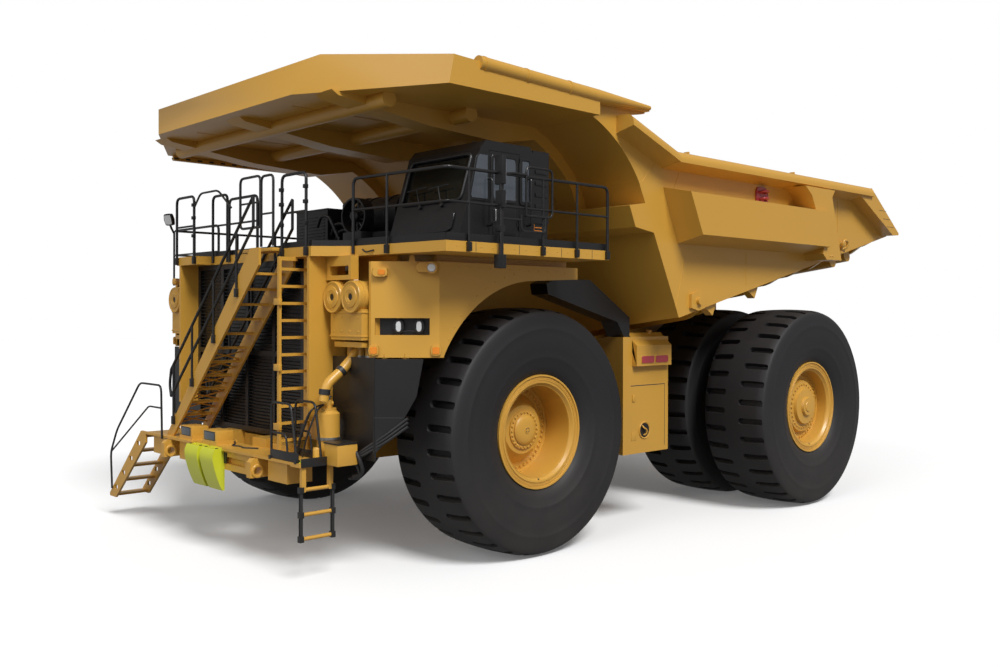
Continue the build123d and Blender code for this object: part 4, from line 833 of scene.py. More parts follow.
# %% Wheel details
NUTS = 46
for side, word in ((1, "left"), (-1, "right")):
    out = (0, side, 0)
    for body, x, y, disc_at in (("wheel_front_", FRONT_AXLE_X, FRONT_Y, -0.02),
            ("wheels_rear_", REAR_AXLE_X, REAR_OUT_Y, 0.3035)):
        centre = Vector((x, side * y, AXLE_Z))
        steps = turned("steps", [(0.8335, 0.55), (0.8335, 0.5845), (0.838, 0.5865), (0.8425, 0.5845), (0.8445, 0.580),
            (0.8555, 0.580), (0.858, 0.5845), (0.8625, 0.586), (0.867, 0.5845), (0.869, 0.580), (0.878, 0.580),
            (0.880, 0.583), (0.8845, 0.583), (0.8865, 0.579), (0.8865, 0.55)], centre, out, OCHRE, 96)
        mouth = turned("mouth", [(0.7395, 0.50), (0.7395, 0.532), (0.7445, 0.541), (0.752, 0.542), (0.752, 0.50)],
            centre, out, OCHRE, 96)
        nuts = scatter("nuts", BOLT, ring_places(centre + Vector((0, side * disc_at, 0)), out, 0.652, NUTS), OCHRE,
            0.062)
        meshes = [steps, mouth, nuts]
        lines = turned("disc_step", [(0.700, disc_at - 0.01), (0.700, disc_at + 0.014), (0.712, disc_at + 0.018),
            (0.7385, disc_at + 0.018), (0.7385, disc_at - 0.01)], centre, out, OCHRE, 96)
        meshes.append(lines)
        valve = tube("valve", [centre + Vector((0.02, side * 0.535, -0.772)),
            centre + Vector((0.02, side * 0.578, -0.772))], 0.011, TRIM, sides=8)
        meshes.append(valve)
        if body == "wheel_front_":
            cap = turned("hub_cap", [(0.236, 0.20), (0.236, 0.228), (0.246, 0.232), (0.246, 0.244), (0.236, 0.250),
                (0.222, 0.262), (0.19, 0.276), (0.14, 0.286), (0.08, 0.290), (0.062, 0.290), (0.058, 0.297),
                (0, 0.298)], centre, out, OCHRE, 64)
            bolts = scatter("cap_bolts", BOLT, ring_places(centre + Vector((0, side * 0.215, 0)), out, 0.288, 24),
                OCHRE, 0.052)
            marks = [tube("plug_mark", [centre + Vector((0.036 * math.cos(a), side * 0.2985, 0.036 * math.sin(a)))
                for a in (first, first + 0.35, first + 0.7, first + 1.05)], 0.0055, TRIM, 0.01, 6)
                for first in (0.26, 1.83, 3.4, 4.97)]
            meshes += [cap, bolts, *marks]
        else:
            rim_bolts = scatter("cover_bolts", BOLT, ring_places(centre + Vector((0, side * (disc_at + 0.102), 0)),
                out, 0.45, 30), OCHRE, 0.05)
            cover = turned("cover_plug", [(0.11, disc_at + 0.22), (0.11, disc_at + 0.236), (0.10, disc_at + 0.246),
                (0, disc_at + 0.248)], centre, out, OCHRE, 32)
            meshes += [rim_bolts, cover]
        as_piece("rim_details_" + body + word, meshes, body + word)
print("wheel details made:", 2 * 2 * NUTS, "nuts")

# %% [markdown]
# ## Plate and tube work
# Most of the truck is welded plate and bent tube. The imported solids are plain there, so the pieces below repeat
# them with their real edges: rounded rails, gussets, pockets, grilles and hoops. A form is a set of closed shells in
# millimetres. Forms are joined with + and cut with -, which runs an exact Boolean only where two shells meet.
# Modelling each plate by hand in edit mode would look the same, but the sizes could not be changed afterwards.

# %% Forms in millimetres
def evaluated_mesh(holder, name):
    bpy.context.view_layer.update()
    made = holder.evaluated_get(bpy.context.evaluated_depsgraph_get())
    mesh = bpy.data.meshes.new_from_object(made)
    mesh.name = name
    return mesh


def reach(mesh):
    points = [vert.co for vert in mesh.vertices]
    return [(min(p[i] for p in points), max(p[i] for p in points)) for i in range(3)]


def trimmed(mesh, cutters, kind):
    """A shell cut by, or kept inside, other shells."""
    spans = reach(mesh)
    near = [c for c in cutters if all(a[0] < b[1] and b[0] < a[1] for a, b in zip(spans, reach(c)))]
    if not near:
        return mesh if kind == "DIFFERENCE" else None
    holder = as_source(mesh)
    tools = []
    for cutter in near:
        tools.append(as_source(cutter))
        step = holder.modifiers.new("cut", "BOOLEAN")
        step.operation, step.solver, step.object = kind, "EXACT", tools[-1]
    result = evaluated_mesh(holder, mesh.name)
    for item in (holder, *tools):
        bpy.data.objects.remove(item)
    return result if len(result.polygons) else None


class Form:
    def __init__(self, shells):
        self.shells = [shell for shell in shells if shell]

    def __add__(self, other):
        return Form(self.shells + other.shells)

    def __sub__(self, other):
        return Form([trimmed(shell, other.shells, "DIFFERENCE") for shell in self.shells])

    def __and__(self, other):
        return Form([trimmed(shell, other.shells, "INTERSECT") for shell in self.shells])


print("forms can be joined and cut")

# %% [markdown]
# Most welded parts are a profile pushed along a line. A few makers of such shells cover all of the truck.

# %% Prisms, rods and bent bars
def swept(rings):
    """A closed shell through rings of points that have as many corners each."""
    work = bmesh.new()
    rows = [[work.verts.new(point) for point in ring] for ring in rings]
    for low, high in zip(rows, rows[1:]):
        for k in range(len(low)):
            work.faces.new((low[k - 1], low[k], high[k], high[k - 1]))
    work.faces.new(rows[0])
    work.faces.new(rows[-1])
    bmesh.ops.recalc_face_normals(work, faces=work.faces[:])
    mesh = bpy.data.meshes.new("shell")
    work.to_mesh(mesh)
    work.free()
    return Form([mesh])


def prism(points, along, low, high):
    """An outline pushed along an axis: "Y" takes (x, z) points, "Z" takes (x, y) and "X" takes (y, z)."""
    place = {"X": lambda a, b, h: (h, a, b), "Y": lambda a, b, h: (a, h, b), "Z": lambda a, b, h: (a, b, h)}[along]
    return swept([[place(a, b, h) for a, b in points] for h in (low, high)])


def cuboid(x, y, z):
    return prism([(x[0], y[0]), (x[1], y[0]), (x[1], y[1]), (x[0], y[1])], "Z", *z)


def rod(start, end, radius, sides=24, tip=None):
    start, end = Vector(start), Vector(end)
    place = frame_along(end - start)
    turns = [2 * math.pi * k / sides for k in range(sides)]
    return swept([[spot + place @ Vector((r * math.cos(a), r * math.sin(a), 0)) for a in turns] for spot,
        r in ((start, radius), (end, radius if tip is None else tip))])


def bent(points, bend=110, radius=24, sides=12):
    """A tube whose corners are rounded over the length bend."""
    return Form([tube("shell", points, radius, BLACK, bend, sides)])


def spun(section, centre):
    """A closed (radius, offset) outline turned about Y."""
    return Form([turned("shell", section, centre, LEFT, OCHRE, 96)])


def arc(a, b, c, steps=12):
    """Points of the circle from a through b to c."""
    a, b, c = Vector(a), Vector(b), Vector(c)
    d = 2 * (a.x * (b.y - c.y) + b.x * (c.y - a.y) + c.x * (a.y - b.y))
    x = (a.length_squared * (b.y - c.y) + b.length_squared * (c.y - a.y) + c.length_squared * (a.y - b.y)) / d
    y = (a.length_squared * (c.x - b.x) + b.length_squared * (a.x - c.x) + c.length_squared * (b.x - a.x)) / d
    middle = Vector((x, y))
    first, mid, last = [math.atan2(p.y - y, p.x - x) for p in (a, b, c)]
    way = 1 if (mid - first) % math.tau < (last - first) % math.tau else -1
    sweep = ((last - first) * way) % math.tau
    radius = (a - middle).length
    return [(x + radius * math.cos(first + way * sweep * k / steps),
        y + radius * math.sin(first + way * sweep * k / steps)) for k in range(steps + 1)]


def mirrored(form):
    shells = []
    for shell in form.shells:
        copy = shell.copy()
        for vert in copy.vertices:
            vert.co.y = -vert.co.y
        copy.flip_normals()
        shells.append(copy)
    return Form(shells)


def both(form):
    return form + mirrored(form)


print("shells ready")

# %% [markdown]
# A form becomes a mesh only at the end. Its shells are cut one by one, then joined, scaled to metres and painted.

# %% From form to piece
def form_mesh(name, form, finish, sharp=35):
    """The form as one mesh in metres."""
    work = bmesh.new()
    for shell in form.shells:
        work.from_mesh(shell)
    bmesh.ops.scale(work, vec=(0.001, 0.001, 0.001), verts=work.verts[:])
    for face in work.faces:
        face.smooth = True
        face.material_index = 0
    for edge in work.edges:
        if len(edge.link_faces) == 2 and edge.calc_face_angle(0) > math.radians(sharp):
            edge.smooth = False
    mesh = bpy.data.meshes.new(name)
    work.to_mesh(mesh)
    work.free()
    mesh.materials.append(MATERIALS[finish])
    return mesh


def dress(name, form, body, finish=OCHRE, replaced=()):
    return as_piece(name, [form_mesh(name, form, finish)], body, replaced)


print("form kit ready")

# %% [markdown]
# ## Rims
# A rim is a barrel between two flanges. The outer flange steps down to the bore through a dark groove and a bevel,
# and a hub or a cover closes the bore.

# %% Rims
BORE_R, BEAD_R, FLANGE_R, RIM_HALF = 740, 800, 927, 600


def rim_face(high):
    return [(FLANGE_R, high), (FLANGE_R - 28, high), (FLANGE_R - 36, high - 22), (BEAD_R + 30, high - 26),
        (BEAD_R + 22, high - 12), (BEAD_R - 8, high - 16), (BORE_R, high - 80)]


def barrel(low, high):
    return [(BORE_R, low), (FLANGE_R, low), (FLANGE_R, low + 40), (BEAD_R, low + 40), (BEAD_R, high - 40),
        (FLANGE_R, high - 40), *rim_face(high)]


FRONT_HUB = [(300.5, -300), (420, -300), (420, -90), (741, -90), (741, -20), (580, -20), (400, 180), (320, 190),
    (320, 215), (240, 220), (200, 250), (0, 250), (0, 160), (300.5, 160)]
REAR_COVER = [(350.5, 3900), (520, 3900), (520, 4250), (741, 4250), (741, 4330), (560, 4330), (520, 4420),
    (380, 4440), (360, 4500), (200, 4510), (180, 4560), (0, 4560), (0, 4250), (350.5, 4250)]
front_at = (FRONT_AXLE_X * 1000, FRONT_Y * 1000, AXLE_Z * 1000)
rear_at = (REAR_AXLE_X * 1000, 0, AXLE_Z * 1000)
front_rim = spun(barrel(-RIM_HALF, RIM_HALF), front_at) + spun(FRONT_HUB, front_at)
inner_y, outer_y = REAR_IN_Y * 1000, REAR_OUT_Y * 1000
rear_rim = spun([*barrel(inner_y - RIM_HALF, inner_y + RIM_HALF)[:6], (FLANGE_R, inner_y + RIM_HALF),
    (BEAD_R, inner_y + RIM_HALF), (BEAD_R, outer_y - RIM_HALF), *barrel(outer_y - RIM_HALF, outer_y + RIM_HALF)[1:]],
    rear_at) + spun(REAR_COVER, rear_at)
for side, word in ((1, "left"), (-1, "right")):
    dress("rim_front_" + word, front_rim if side > 0 else mirrored(front_rim), "wheel_front_" + word, OCHRE,
        ["front_rim_" + word])
    dress("rims_rear_" + word, rear_rim if side > 0 else mirrored(rear_rim), "wheels_rear_" + word, OCHRE,
        ["rear_rims_" + word])
print("rims made")

# %% [markdown]
# ## The bed's sides
# Each side is a plate with a rounded rail along its top, a rail that climbs to the canopy, a long box that stiffens it,
# an upright with gussets and a flat rail down the tail.

# %% Bed sides
IN_HALF, PLATE_T = 4256.5, 84.0
SIDE_Y = IN_HALF + 0.3
SIDE_OUT = IN_HALF + PLATE_T
FRONT_X, FRONT_Z, TAIL_X, SLOPE = 550.0, 3860.0, -7540.0, 0.2367
WALL_TOP = (1700.0, 6210.0)
BED_TOP = 6780.0
CANOPY_Z, CANOPY_BACK, CANOPY_HALF = 7160.0, 2890.0, 4558.0
RIM_BACK = CANOPY_Z + 310
RAIL_END, RAIL_START = TAIL_X + 1340, 1000.0
HIP = (2300.0, CANOPY_Z + 90)
WING_TIP = 1550.0


def side_low(x):
    return FRONT_Z + (FRONT_X - x) * SLOPE


def wall_x(z):
    return FRONT_X + (z - FRONT_Z) * (WALL_TOP[0] - FRONT_X) / (WALL_TOP[1] - FRONT_Z)


def wall_curve(low_z, offset):
    """The front wall's face, from a height up the lean and round to the canopy."""
    turn = arc((WALL_TOP[0] - offset, WALL_TOP[1]), (2165 - offset * 0.6, WALL_TOP[1] + 520 + offset * 0.6),
        (CANOPY_BACK, CANOPY_Z + offset * 0.83), 14)
    return [(wall_x(low_z) - offset, low_z), *turn]


def rail_section(x, top, out, rounded=150.0, height=290.0):
    root, high = SIDE_OUT - 1, SIDE_OUT + out
    turn = [(high - rounded + rounded * math.sin(a), top - rounded + rounded * math.cos(a))
        for a in [math.pi / 2 * k / 6 for k in range(7)]]
    return [(x, y, z) for y, z in [(root, top - height), (root, top), *turn, (high, top - height + 90)]]


def bed_side():
    root = SIDE_OUT - 1
    tail = side_low(TAIL_X) + 55
    outline = [*wall_curve(FRONT_Z, 0), (CANOPY_BACK, RIM_BACK), (WING_TIP, RIM_BACK - 40), (WING_TIP, RIM_BACK - 80),
        HIP, (RAIL_START, BED_TOP - 10), (RAIL_END, BED_TOP - 10), (TAIL_X, tail), (TAIL_X, side_low(TAIL_X))]
    form = prism(outline, "Y", SIDE_Y, SIDE_OUT)
    form += swept([rail_section(x, BED_TOP, 360) for x in (RAIL_START + 40, RAIL_END)])
    form += swept([rail_section(*HIP, 378), rail_section(RAIL_START, BED_TOP, 378)])
    form += prism([(RAIL_END, BED_TOP - 10), (TAIL_X, tail), (TAIL_X + 10, tail - 45), (TAIL_X + 300, tail - 60),
        (RAIL_END + 560, BED_TOP - 200)], "Y", root, SIDE_OUT + 300)
    form += prism([(-3040, 6530), (-3290, 6360), (-3800, 5440), (-3760, 5180), (-3900, 5060), (-4040, 5070),
        (-4520, 5070), (-4120, 6380), (-4230, 6530)], "Y", root, SIDE_OUT + 460)
    tip_y = CANOPY_HALF - 110
    form += rod((CANOPY_BACK, tip_y, RIM_BACK), (WING_TIP, tip_y, RIM_BACK), 110, tip=40)
    form += prism([(CANOPY_BACK, RIM_BACK - 110), (CANOPY_BACK, RIM_BACK + 20), (WING_TIP, RIM_BACK - 20),
        (WING_TIP, RIM_BACK - 60)], "Y", root, tip_y)
    form += swept([[(x, y, z) for x, z in corners] for y, corners in ((root,
        [(-3900, 5190), (600, 5190), (1020, 6170), (-3900, 6170)]),
        (4877.5, [(-3900, 5330), (575, 5330), (930, 6060), (-3900, 6060)]))])
    form += prism([(-160, 4040), (-160, 4290), (60, 4330), (250, 4290), (250, 4040), (40, 3990)], "Y", root,
        SIDE_OUT + 60)
    return form + rod((40, SIDE_OUT + 50, 4170), (40, SIDE_OUT + 120, 4170), 70)


left_side = bed_side()
dress("bed_side_plates_left", left_side, "bed", OCHRE, ["bed_side_left"])
dress("bed_side_plates_right", mirrored(left_side), "bed", OCHRE, ["bed_side_right"])

# %% [markdown]
# Under the plates run ribs, and gussets stand where the side meets the front wall.

# %% Ribs and gussets
# ribs that run up the front wall and curve under the canopy
RIBS, RIB_W, RIB_DEEP = (-2750, 0, 2750), 460, 260
ribs = Form([])
for y in RIBS:
    outline = wall_curve(5800, 1) + wall_curve(5800, -RIB_DEEP)[::-1]
    ribs += prism(outline, "Y", y - RIB_W / 2, y + RIB_W / 2)
gussets = Form([])
for x in (-610, -2040):
    gussets += both(prism([(x + 280, side_low(x + 280) + 5), (x - 140, side_low(x - 140) + 5),
        (x, side_low(x) - 230)], "Y", IN_HALF - 160, IN_HALF))
drop = 597.0
for x in (TAIL_X + 2100, TAIL_X + 1450):
    z = FRONT_Z - drop + (FRONT_X - x) * SLOPE
    gussets += both(rod((x, 0, z - 135), (x, IN_HALF - 160, z - 135 + (IN_HALF - 160) * drop / IN_HALF), 140))
dress("bed_ribs_and_gussets", ribs + gussets, "bed")

# %% [markdown]
# ## The canopy
# The canopy is a tray whose rim leans outward at the front. Boxed ribs and two round tubes carry its plate from below.

# %% Canopy
def canopy():
    start, top = CANOPY_BACK + 0.3, CANOPY_Z + 549
    lip_y, lip_t, skin = CANOPY_HALF - 58, 60, 50
    low = [(start, lip_y), (6080, lip_y), (7262, 2280), (7262, -2280), (6080, -lip_y), (start, -lip_y)]
    high = [(start, lip_y), (5960, lip_y), (7060, 2740), (7060, -2740), (5960, -lip_y), (start, -lip_y)]

    def level(points, z, inset):
        return [(x - (0 if x == start else inset), y - math.copysign(inset, y), z) for x, y in points]

    outer = swept([level(low, CANOPY_Z, 0), level(high, top, 0)])
    inner = swept([level(low, CANOPY_Z + skin, lip_t), level(high, top + 1, lip_t)])
    above = prism([(start - 10, RIM_BACK), (5960, CANOPY_Z + 420), (7060, top), (7300, top + 60), (7300, 8300),
        (start - 10, 8300)], "Y", -9000, 9000)
    tray = outer - inner - above - cuboid((start - 10, start + 90), (-IN_HALF, IN_HALF), (CANOPY_Z + skin, 8300))
    tube_y = CANOPY_HALF - 110
    form = tray + both(rod((start, tube_y, RIM_BACK), (5500, tube_y, CANOPY_Z + 390), 110))
    rib_back = CANOPY_Z - 0.83 * RIB_DEEP
    for y in RIBS:
        form += prism([(start, CANOPY_Z + 10), (start, rib_back), (3700, CANOPY_Z - 360), (5200, CANOPY_Z - 280),
            (6900, CANOPY_Z - 60), (7020, CANOPY_Z + 10)], "Y", y - RIB_W / 2, y + RIB_W / 2)
    for x in (4700, 6300):
        form += rod((x, -3400, CANOPY_Z - 80), (x, 3400, CANOPY_Z - 80), 125, 32)
    return form


dress("canopy", canopy(), "bed", OCHRE, ["bed_canopy"])

# %% [markdown]
# ## The front end
# The bumper carries the stairs, the wheel chocks and two steps down to the ground. The radiator stands behind it,
# its grille split into eight openings with slats. The wings hold the lamps in a slot.

# %% Bumper, chocks and radiator
BUMPER_X, BUMPER_Z = (6900.3, 7330.0), (1400.0, 1720.0)
PLATE_TOP = BUMPER_Z[1] + 40
CHOCK_Y, CHOCK_W, CHOCK_BACK, NOSE_X = (-620.0, -70.0), 450.0, BUMPER_X[1] + 0.3, 7540.0
bumper = cuboid(BUMPER_X, (-2300, 2300), BUMPER_Z)
bumper += cuboid((6450, 7400), (-2500, 2500), (BUMPER_Z[1] - 1, PLATE_TOP)) - cuboid((6400, 6900.3), (-920.3, 920.3),
    (1000, 3000))
lug = [(7100, 1420), (7520, 1420), (7520, 1660), (7470, 1710), (7100, 1710)]
lugs = Form([])
for y in (1500, -1500):
    bumper -= cuboid((7180, 7600), (y - 250, y + 250), (1300, BUMPER_Z[1] - 2))
    lugs += prism(lug, "Y", y - 60, y + 60) - rod((7400, y - 200, 1520), (7400, y + 200, 1520), 60)
bumper -= cuboid((BUMPER_X[1], 7500), (CHOCK_Y[0] - 40, CHOCK_Y[1] + CHOCK_W + 40), (BUMPER_Z[1] - 20, PLATE_TOP + 1))
bumper -= cuboid((BUMPER_X[1] - 70, BUMPER_X[1] + 1), (460, 1040), (1500, 1610))
for x, y, rise in (((6950, 7330), (-1250, -780), 60), ((6950, 7330), (-400, 90), 60),
        ((6620, 6860), (1050, 1500), 90)):
    bumper += cuboid(x, y, (PLATE_TOP - 1, PLATE_TOP + rise))
dress("bumper", bumper + lugs, "chassis", OCHRE, ["front_bumper"])

# %% [markdown]
# Two yellow chocks hang on the bumper's face. A prism with a curved nose and two grip holes is enough, because the
# curve is what the light shows.

# %% Wheel chocks
chocks = Form([])
curve = arc((CHOCK_BACK + 40, 1060), (NOSE_X - 65, 1310), (NOSE_X, 1560), 10)
for low in CHOCK_Y:
    body = prism([*curve, (NOSE_X, 1650), (NOSE_X - 40, 1740), (CHOCK_BACK, 1740), (CHOCK_BACK, 1060)], "Y", low,
        low + CHOCK_W)
    for share in (0.2, 0.6):
        y = low + share * CHOCK_W
        body -= cuboid((CHOCK_BACK + 50, NOSE_X - 60), (y, y + 80), (1600, 1800))
    chocks += body
dress("chocks", chocks, "chassis", "signal yellow", ["wheel_chocks"])

# %% [markdown]
# The radiator is a wall of thin slats in pockets. The pockets are cut out of one block, and each slat is a tilted
# prism, so that the wall stays dark between them from every side.

# %% Radiator grille
GRILLE_X, GRILLE_Y, GRILLE_Z = 6560.0, (-2140.0, 1500.0), (1900.3, 4789.7)
pitch = (GRILLE_Y[1] - GRILLE_Y[0] - 90) / 4
radiator = cuboid((6250, GRILLE_X), GRILLE_Y, GRILLE_Z)
pockets, slats = Form([]), Form([])
for low, top in ((GRILLE_Z[0] + 90, 3205.0), (3295.0, GRILLE_Z[1] - 90)):
    for column in range(4):
        y = GRILLE_Y[0] + 90 + column * pitch
        pockets += cuboid((GRILLE_X - 60, GRILLE_X + 1), (y, y + pitch - 90), (low, top))
    for step in range(1, 22):
        z = low + step * (top - low) / 22
        slats += prism([(GRILLE_X - 50, z - 12), (GRILLE_X - 14, z - 22), (GRILLE_X - 12, z - 16),
            (GRILLE_X - 48, z - 4)], "Y", GRILLE_Y[0] + 5, GRILLE_Y[1] - 5)
dress("radiator_grille", (radiator - pockets) + slats, "chassis", BLACK, ["radiator"])

# %% [markdown]
# The wings are the wide mudguards that also carry the deck. A plate with an arch cut out of it, a slanted panel
# with a lamp slot and a shelf make each one, and the right wing is the left one mirrored at its own height.

# %% Wings
WING_Y, WING_T, WING_LOW, WING_X, CORNER_X, WING_IN = 3930.0, 60.0, 3280.0, 6500.0, 5780.0, 3230.0
LAMP_Z = (3610.0, 3860.0)


def wing_point(share, out):
    """A plan point along the slanted lamp panel, a distance out from its face."""
    run = Vector((CORNER_X - WING_X, WING_Y - WING_IN))
    return (WING_X + share * run.x + out * run.y / run.length, WING_IN + share * run.y - out * run.x / run.length)


def wing(shelf_z, top):
    panel = prism([(WING_X, WING_IN), (CORNER_X, WING_Y), (CORNER_X - 90, WING_Y), (CORNER_X - 90, WING_Y - WING_T),
        (CORNER_X - 25, WING_Y - WING_T), (WING_X - 60, WING_IN - 50), (WING_X, WING_IN - 50)], "Z", WING_LOW,
        shelf_z)
    panel -= prism([wing_point(0.06, -120), wing_point(0.86, -120), wing_point(0.86, 40), wing_point(0.06, 40)], "Z",
        *LAMP_Z)
    front_x = CORNER_X - 20
    arch = arc((3900, shelf_z - 240), (5130, 3980), (front_x - 60, WING_LOW), 24)
    form = panel + prism([*arch, (front_x, WING_LOW), (front_x, shelf_z), (2800, shelf_z), (2800, shelf_z - 190)],
        "Y", WING_Y - WING_T, WING_Y - 0.5)
    form += cuboid((5950, 6010), (2200.3, WING_IN - 10), (WING_LOW + 20, top))
    form += cuboid((5990, WING_X - 20), (WING_IN - 50, WING_IN), (WING_LOW + 20, shelf_z - 1))
    form += prism([(2801, 3500), (5980, 3500), (5980, WING_IN - 30), (WING_X - 30, WING_IN - 30),
        (WING_X - 30, WING_IN + 10), (CORNER_X - 10, WING_Y - 15), (2801, WING_Y - 15)], "Z", shelf_z - 50,
        shelf_z - 1)
    for share in (0.2, 0.5):
        x, y = wing_point(share, -75)
        form += rod((x, y, WING_LOW - 130), (x, y, WING_LOW + 20), 55)
        form += cuboid((x - 60, x + 60), (y - 60, y + 60), (WING_LOW + 1, WING_LOW + 60))
    if top > shelf_z:
        form += cuboid((2900, 5700), (3700, 3760), (shelf_z - 10, top))
    return form


dress("wing_left", wing(4690, 4789.7), "chassis", OCHRE, ["fender_left"])
dress("wing_right", mirrored(wing(4459.7, 4459.7)), "chassis", OCHRE, ["fender_right"])

# %% [markdown]
# A black folded plate stands behind each front tyre, below the bed's front corner. Its black paints the shade that
# falls there under the bed. It is one profile with a smaller one cut out of it, which leaves the folded lip.

# %% Tyre guards, black for painted shade
# the guard's black paints the shade under the bed's front corner
shade_guard = prism([(3000, 4440), (2780, 4520), (1900, 4530), (800, 3860), (800, 3500.3), (950, 3500.3), (1150, 3780),
    (2960, 4260)], "Y", 3000, 3400)
shade_guard -= prism([(2960, 4400), (2765, 4480), (1915, 4490), (840, 3838), (840, 3540), (930, 3540), (1125, 3815),
    (2960, 4300)], "Y", 2999, 3350)
dress("tyre_guards", both(shade_guard), "chassis", BLACK)

# %% [markdown]
# The side tank is a box with a stepped front and a sloped top. Two prisms that cross give both at once. A hood for
# the reflectors stands on it, and the other side's tank gets the same hood.

# %% Side tank
tank = prism([(-300, 1550), (880, 1550), (880, 2750), (1040, 3450), (-300, 3450)], "Z", 1000, 4000)
tank = tank & prism([(1550, 1330), (3450, 1330), (3450, 3500), (3000, 3500), (1550, 3280)], "X", -301, 1041)
hood = prism([(3060, 3490), (3300, 3575), (3560, 3340), (3560, 2960), (3440, 2960), (3440, 3490)], "X", -260, 780)
dress("fuel_tank_shell", tank + hood, "chassis", OCHRE, ["fuel_tank"])
dress("hydraulic_tank_hood", mirrored(hood), "chassis")

# %% [markdown]
# ## Steps and rails
# Every way up has its own rails. All of them are bent tube on clamped posts, so one function draws a tube
# through a few points with rounded corners, and tables of points place the hoops.

# %% Stairs, steps and rails
FOOT, DEPTH = (-1700.0, 1890.0), 130.0
HEAD = (1400.0 - DEPTH - 0.3, 4790.0)
STAIR_X = (6650.0, 7300.0)


def stair_point(share, rise):
    return (FOOT[0] + share * (HEAD[0] - FOOT[0]), FOOT[1] + share * (HEAD[1] - FOOT[1]) + rise)


def stair_rail(x):
    bars = Form([])
    for rise in (480, 950):
        bars += bent([(x, *stair_point(0.03, rise)), (x, *stair_point(1.0, rise))])
    y, z = stair_point(0.03, 950)
    bars += bent([(x, y, z), (x, y - 60, z - 260), (x, y, z - 470)], 90)
    y, z = stair_point(1.0, 950)
    bars += bent([(x, y, z), (x, y, z - 470)])
    for share in (0.06, 0.3, 0.56, 0.82):
        y, z = stair_point(share, -60)
        bars += rod((x, y, z), (x, y, z + 1010), 20, 12)
    return bars


dress("stair_rails", stair_rail(STAIR_X[1] + 20.3) + stair_rail(STAIR_X[0] - 20.3), "chassis", BLACK)

# %% [markdown]
# The lowest flight hangs out to the side. Its two cheeks are prisms with a cut-out between treads, which is how
# such cheeks are burned out of plate to save weight.

# %% Boarding steps
STEP_X, TREADS = (6720.0, 7400.0), ((-4000.0, 420.0), (-3660.0, 740.0), (-3320.0, 1050.0), (-2980.0, 1360.0),
    (-2640.0, 1670.0))
steps = Form([])
for x in (STEP_X[0], STEP_X[1] - 40):
    side = prism([(-2500.3, PLATE_TOP), (-2500.3, PLATE_TOP - 200), (-3850, 380), (-4130, 380), (-4130, 440),
        (-2700, PLATE_TOP)], "X", x, x + 40)
    for (y0, z0), (y1, z1) in zip(TREADS, TREADS[1:]):
        y, z = (y0 + y1) / 2, (z0 + z1) / 2
        side -= cuboid((x - 1, x + 41), (y - 70, y + 70), (z - 40, z + 40))
    steps += side
for y, z in TREADS:
    steps += cuboid((STEP_X[0] + 20, STEP_X[1] - 20), (y - 120, y + 120), (z - 20, z + 20))
dress("boarding_step_frame", steps, "chassis", OCHRE, ["boarding_steps"])

# %% [markdown]
# Below the ladder hang three rungs that may swing when they meet the ground, so they are apart from the platform.

# %% Below the ladder hang three rungs that may swing when they meet the ground. Here they are one piece with the
# platform.
RUNGS = (660.0, 1010.0, 1370.0)
hanging = cuboid((6600, 7400), (2500.3, 2760), (PLATE_TOP - 60, PLATE_TOP))
for x in (6840, 7300):
    hanging += cuboid((x - 20, x + 50), (2680, 2740), (RUNGS[2] - 30, PLATE_TOP - 50))
for z in RUNGS:
    hanging += rod((6800, 2710, z), (7370, 2710, z), 30, 16)
dress("hanging_steps", hanging, "chassis", OCHRE, ["side_platform"])

# %% [markdown]
# The platforms need something to hold. Each rail is a tube bent through a few corners, like a real bent pipe.

# %% Grab rails
GRAB_R = 19.0
grabs = Form([])
for x in (6960, 7370):
    grabs += bent([(x, 1920, PLATE_TOP), (x, 1920, 2600), (x, 2470, 2600), (x, 2640, PLATE_TOP)], 110, GRAB_R)
    grabs += bent([(x, 1920, 2150), (x, 2330, 2150), (x, 2400, PLATE_TOP)], 80, GRAB_R - 3)
x = STEP_X[1] + GRAB_R + 0.3
grabs += bent([(x, -3980, 540), (x, -4040, 1230), (x, -3750, 1680), (x, -2700, 2640), (x, -1800, 2640),
    (x, -1760, 1700)], 120, GRAB_R)
grabs += bent([(x, -4040, 1230), (x, -2310, 2240), (x, -1785, 2240)], 80, GRAB_R - 3)
dress("grab_rails", grabs, "chassis", BLACK)

# %% [markdown]
# The deck's edge has a top rail and a middle rail on posts. The corners and the posts come from short tables, so a
# post is moved by changing one number.

# %% Deck rails
RAIL_TOP, RAIL_MID, RAIL_FOOT, OUT = 5950.0, 5480.0, 4820.0, 24.3
rails = Form([])


def hoop(start, end, low, top, mid):
    return bent([(*start, low), (*start, top), (*end, top), (*end, low)]) + bent([(*start, mid), (*end, mid)], 10, 18)


left_y, corner = 4700 + OUT, (6468.0, 2728.0)
ends = [(*corner, RAIL_FOOT), (*corner, RAIL_TOP), (6300, left_y, RAIL_TOP), (2960, left_y, RAIL_TOP),
    (2960, left_y, RAIL_FOOT)]
rails += bent(ends)
rails += bent([(*corner, RAIL_MID), (6300, left_y, RAIL_MID), (2960, left_y, RAIL_MID)], 30, 18)
for x, y in ((6390 + OUT, 3500), (5900, left_y), (4430, left_y), (3680, left_y)):
    rails += rod((x, y, RAIL_FOOT), (x, y, RAIL_TOP), 20, 12)
right_y, walk_x = -4300 - OUT, 6000 + OUT
rails += bent([(walk_x, -2400, 4480), (walk_x, -2400, 5600), (walk_x, right_y, 5600), (3060, right_y, 5600),
    (3060, right_y, 4480)])
rails += bent([(walk_x, -2400, 5100), (walk_x, right_y, 5100), (3060, right_y, 5100)], 30, 18)
for x, y in ((walk_x, -3400), (walk_x, right_y), (4600, right_y)):
    rails += rod((x, y, 4480), (x, y, 5600), 20, 12)
front_x, notch_x = 6900 + OUT, 6600 + OUT
for x, low, high, top in ((front_x, -2250, -1560, 6010), (front_x, 1450, 2150, 6070), (notch_x, -1440, -900, 6010),
        (notch_x, -830, 150, 5910)):
    rails += hoop((x, low), (x, high), RAIL_FOOT, top, RAIL_MID)
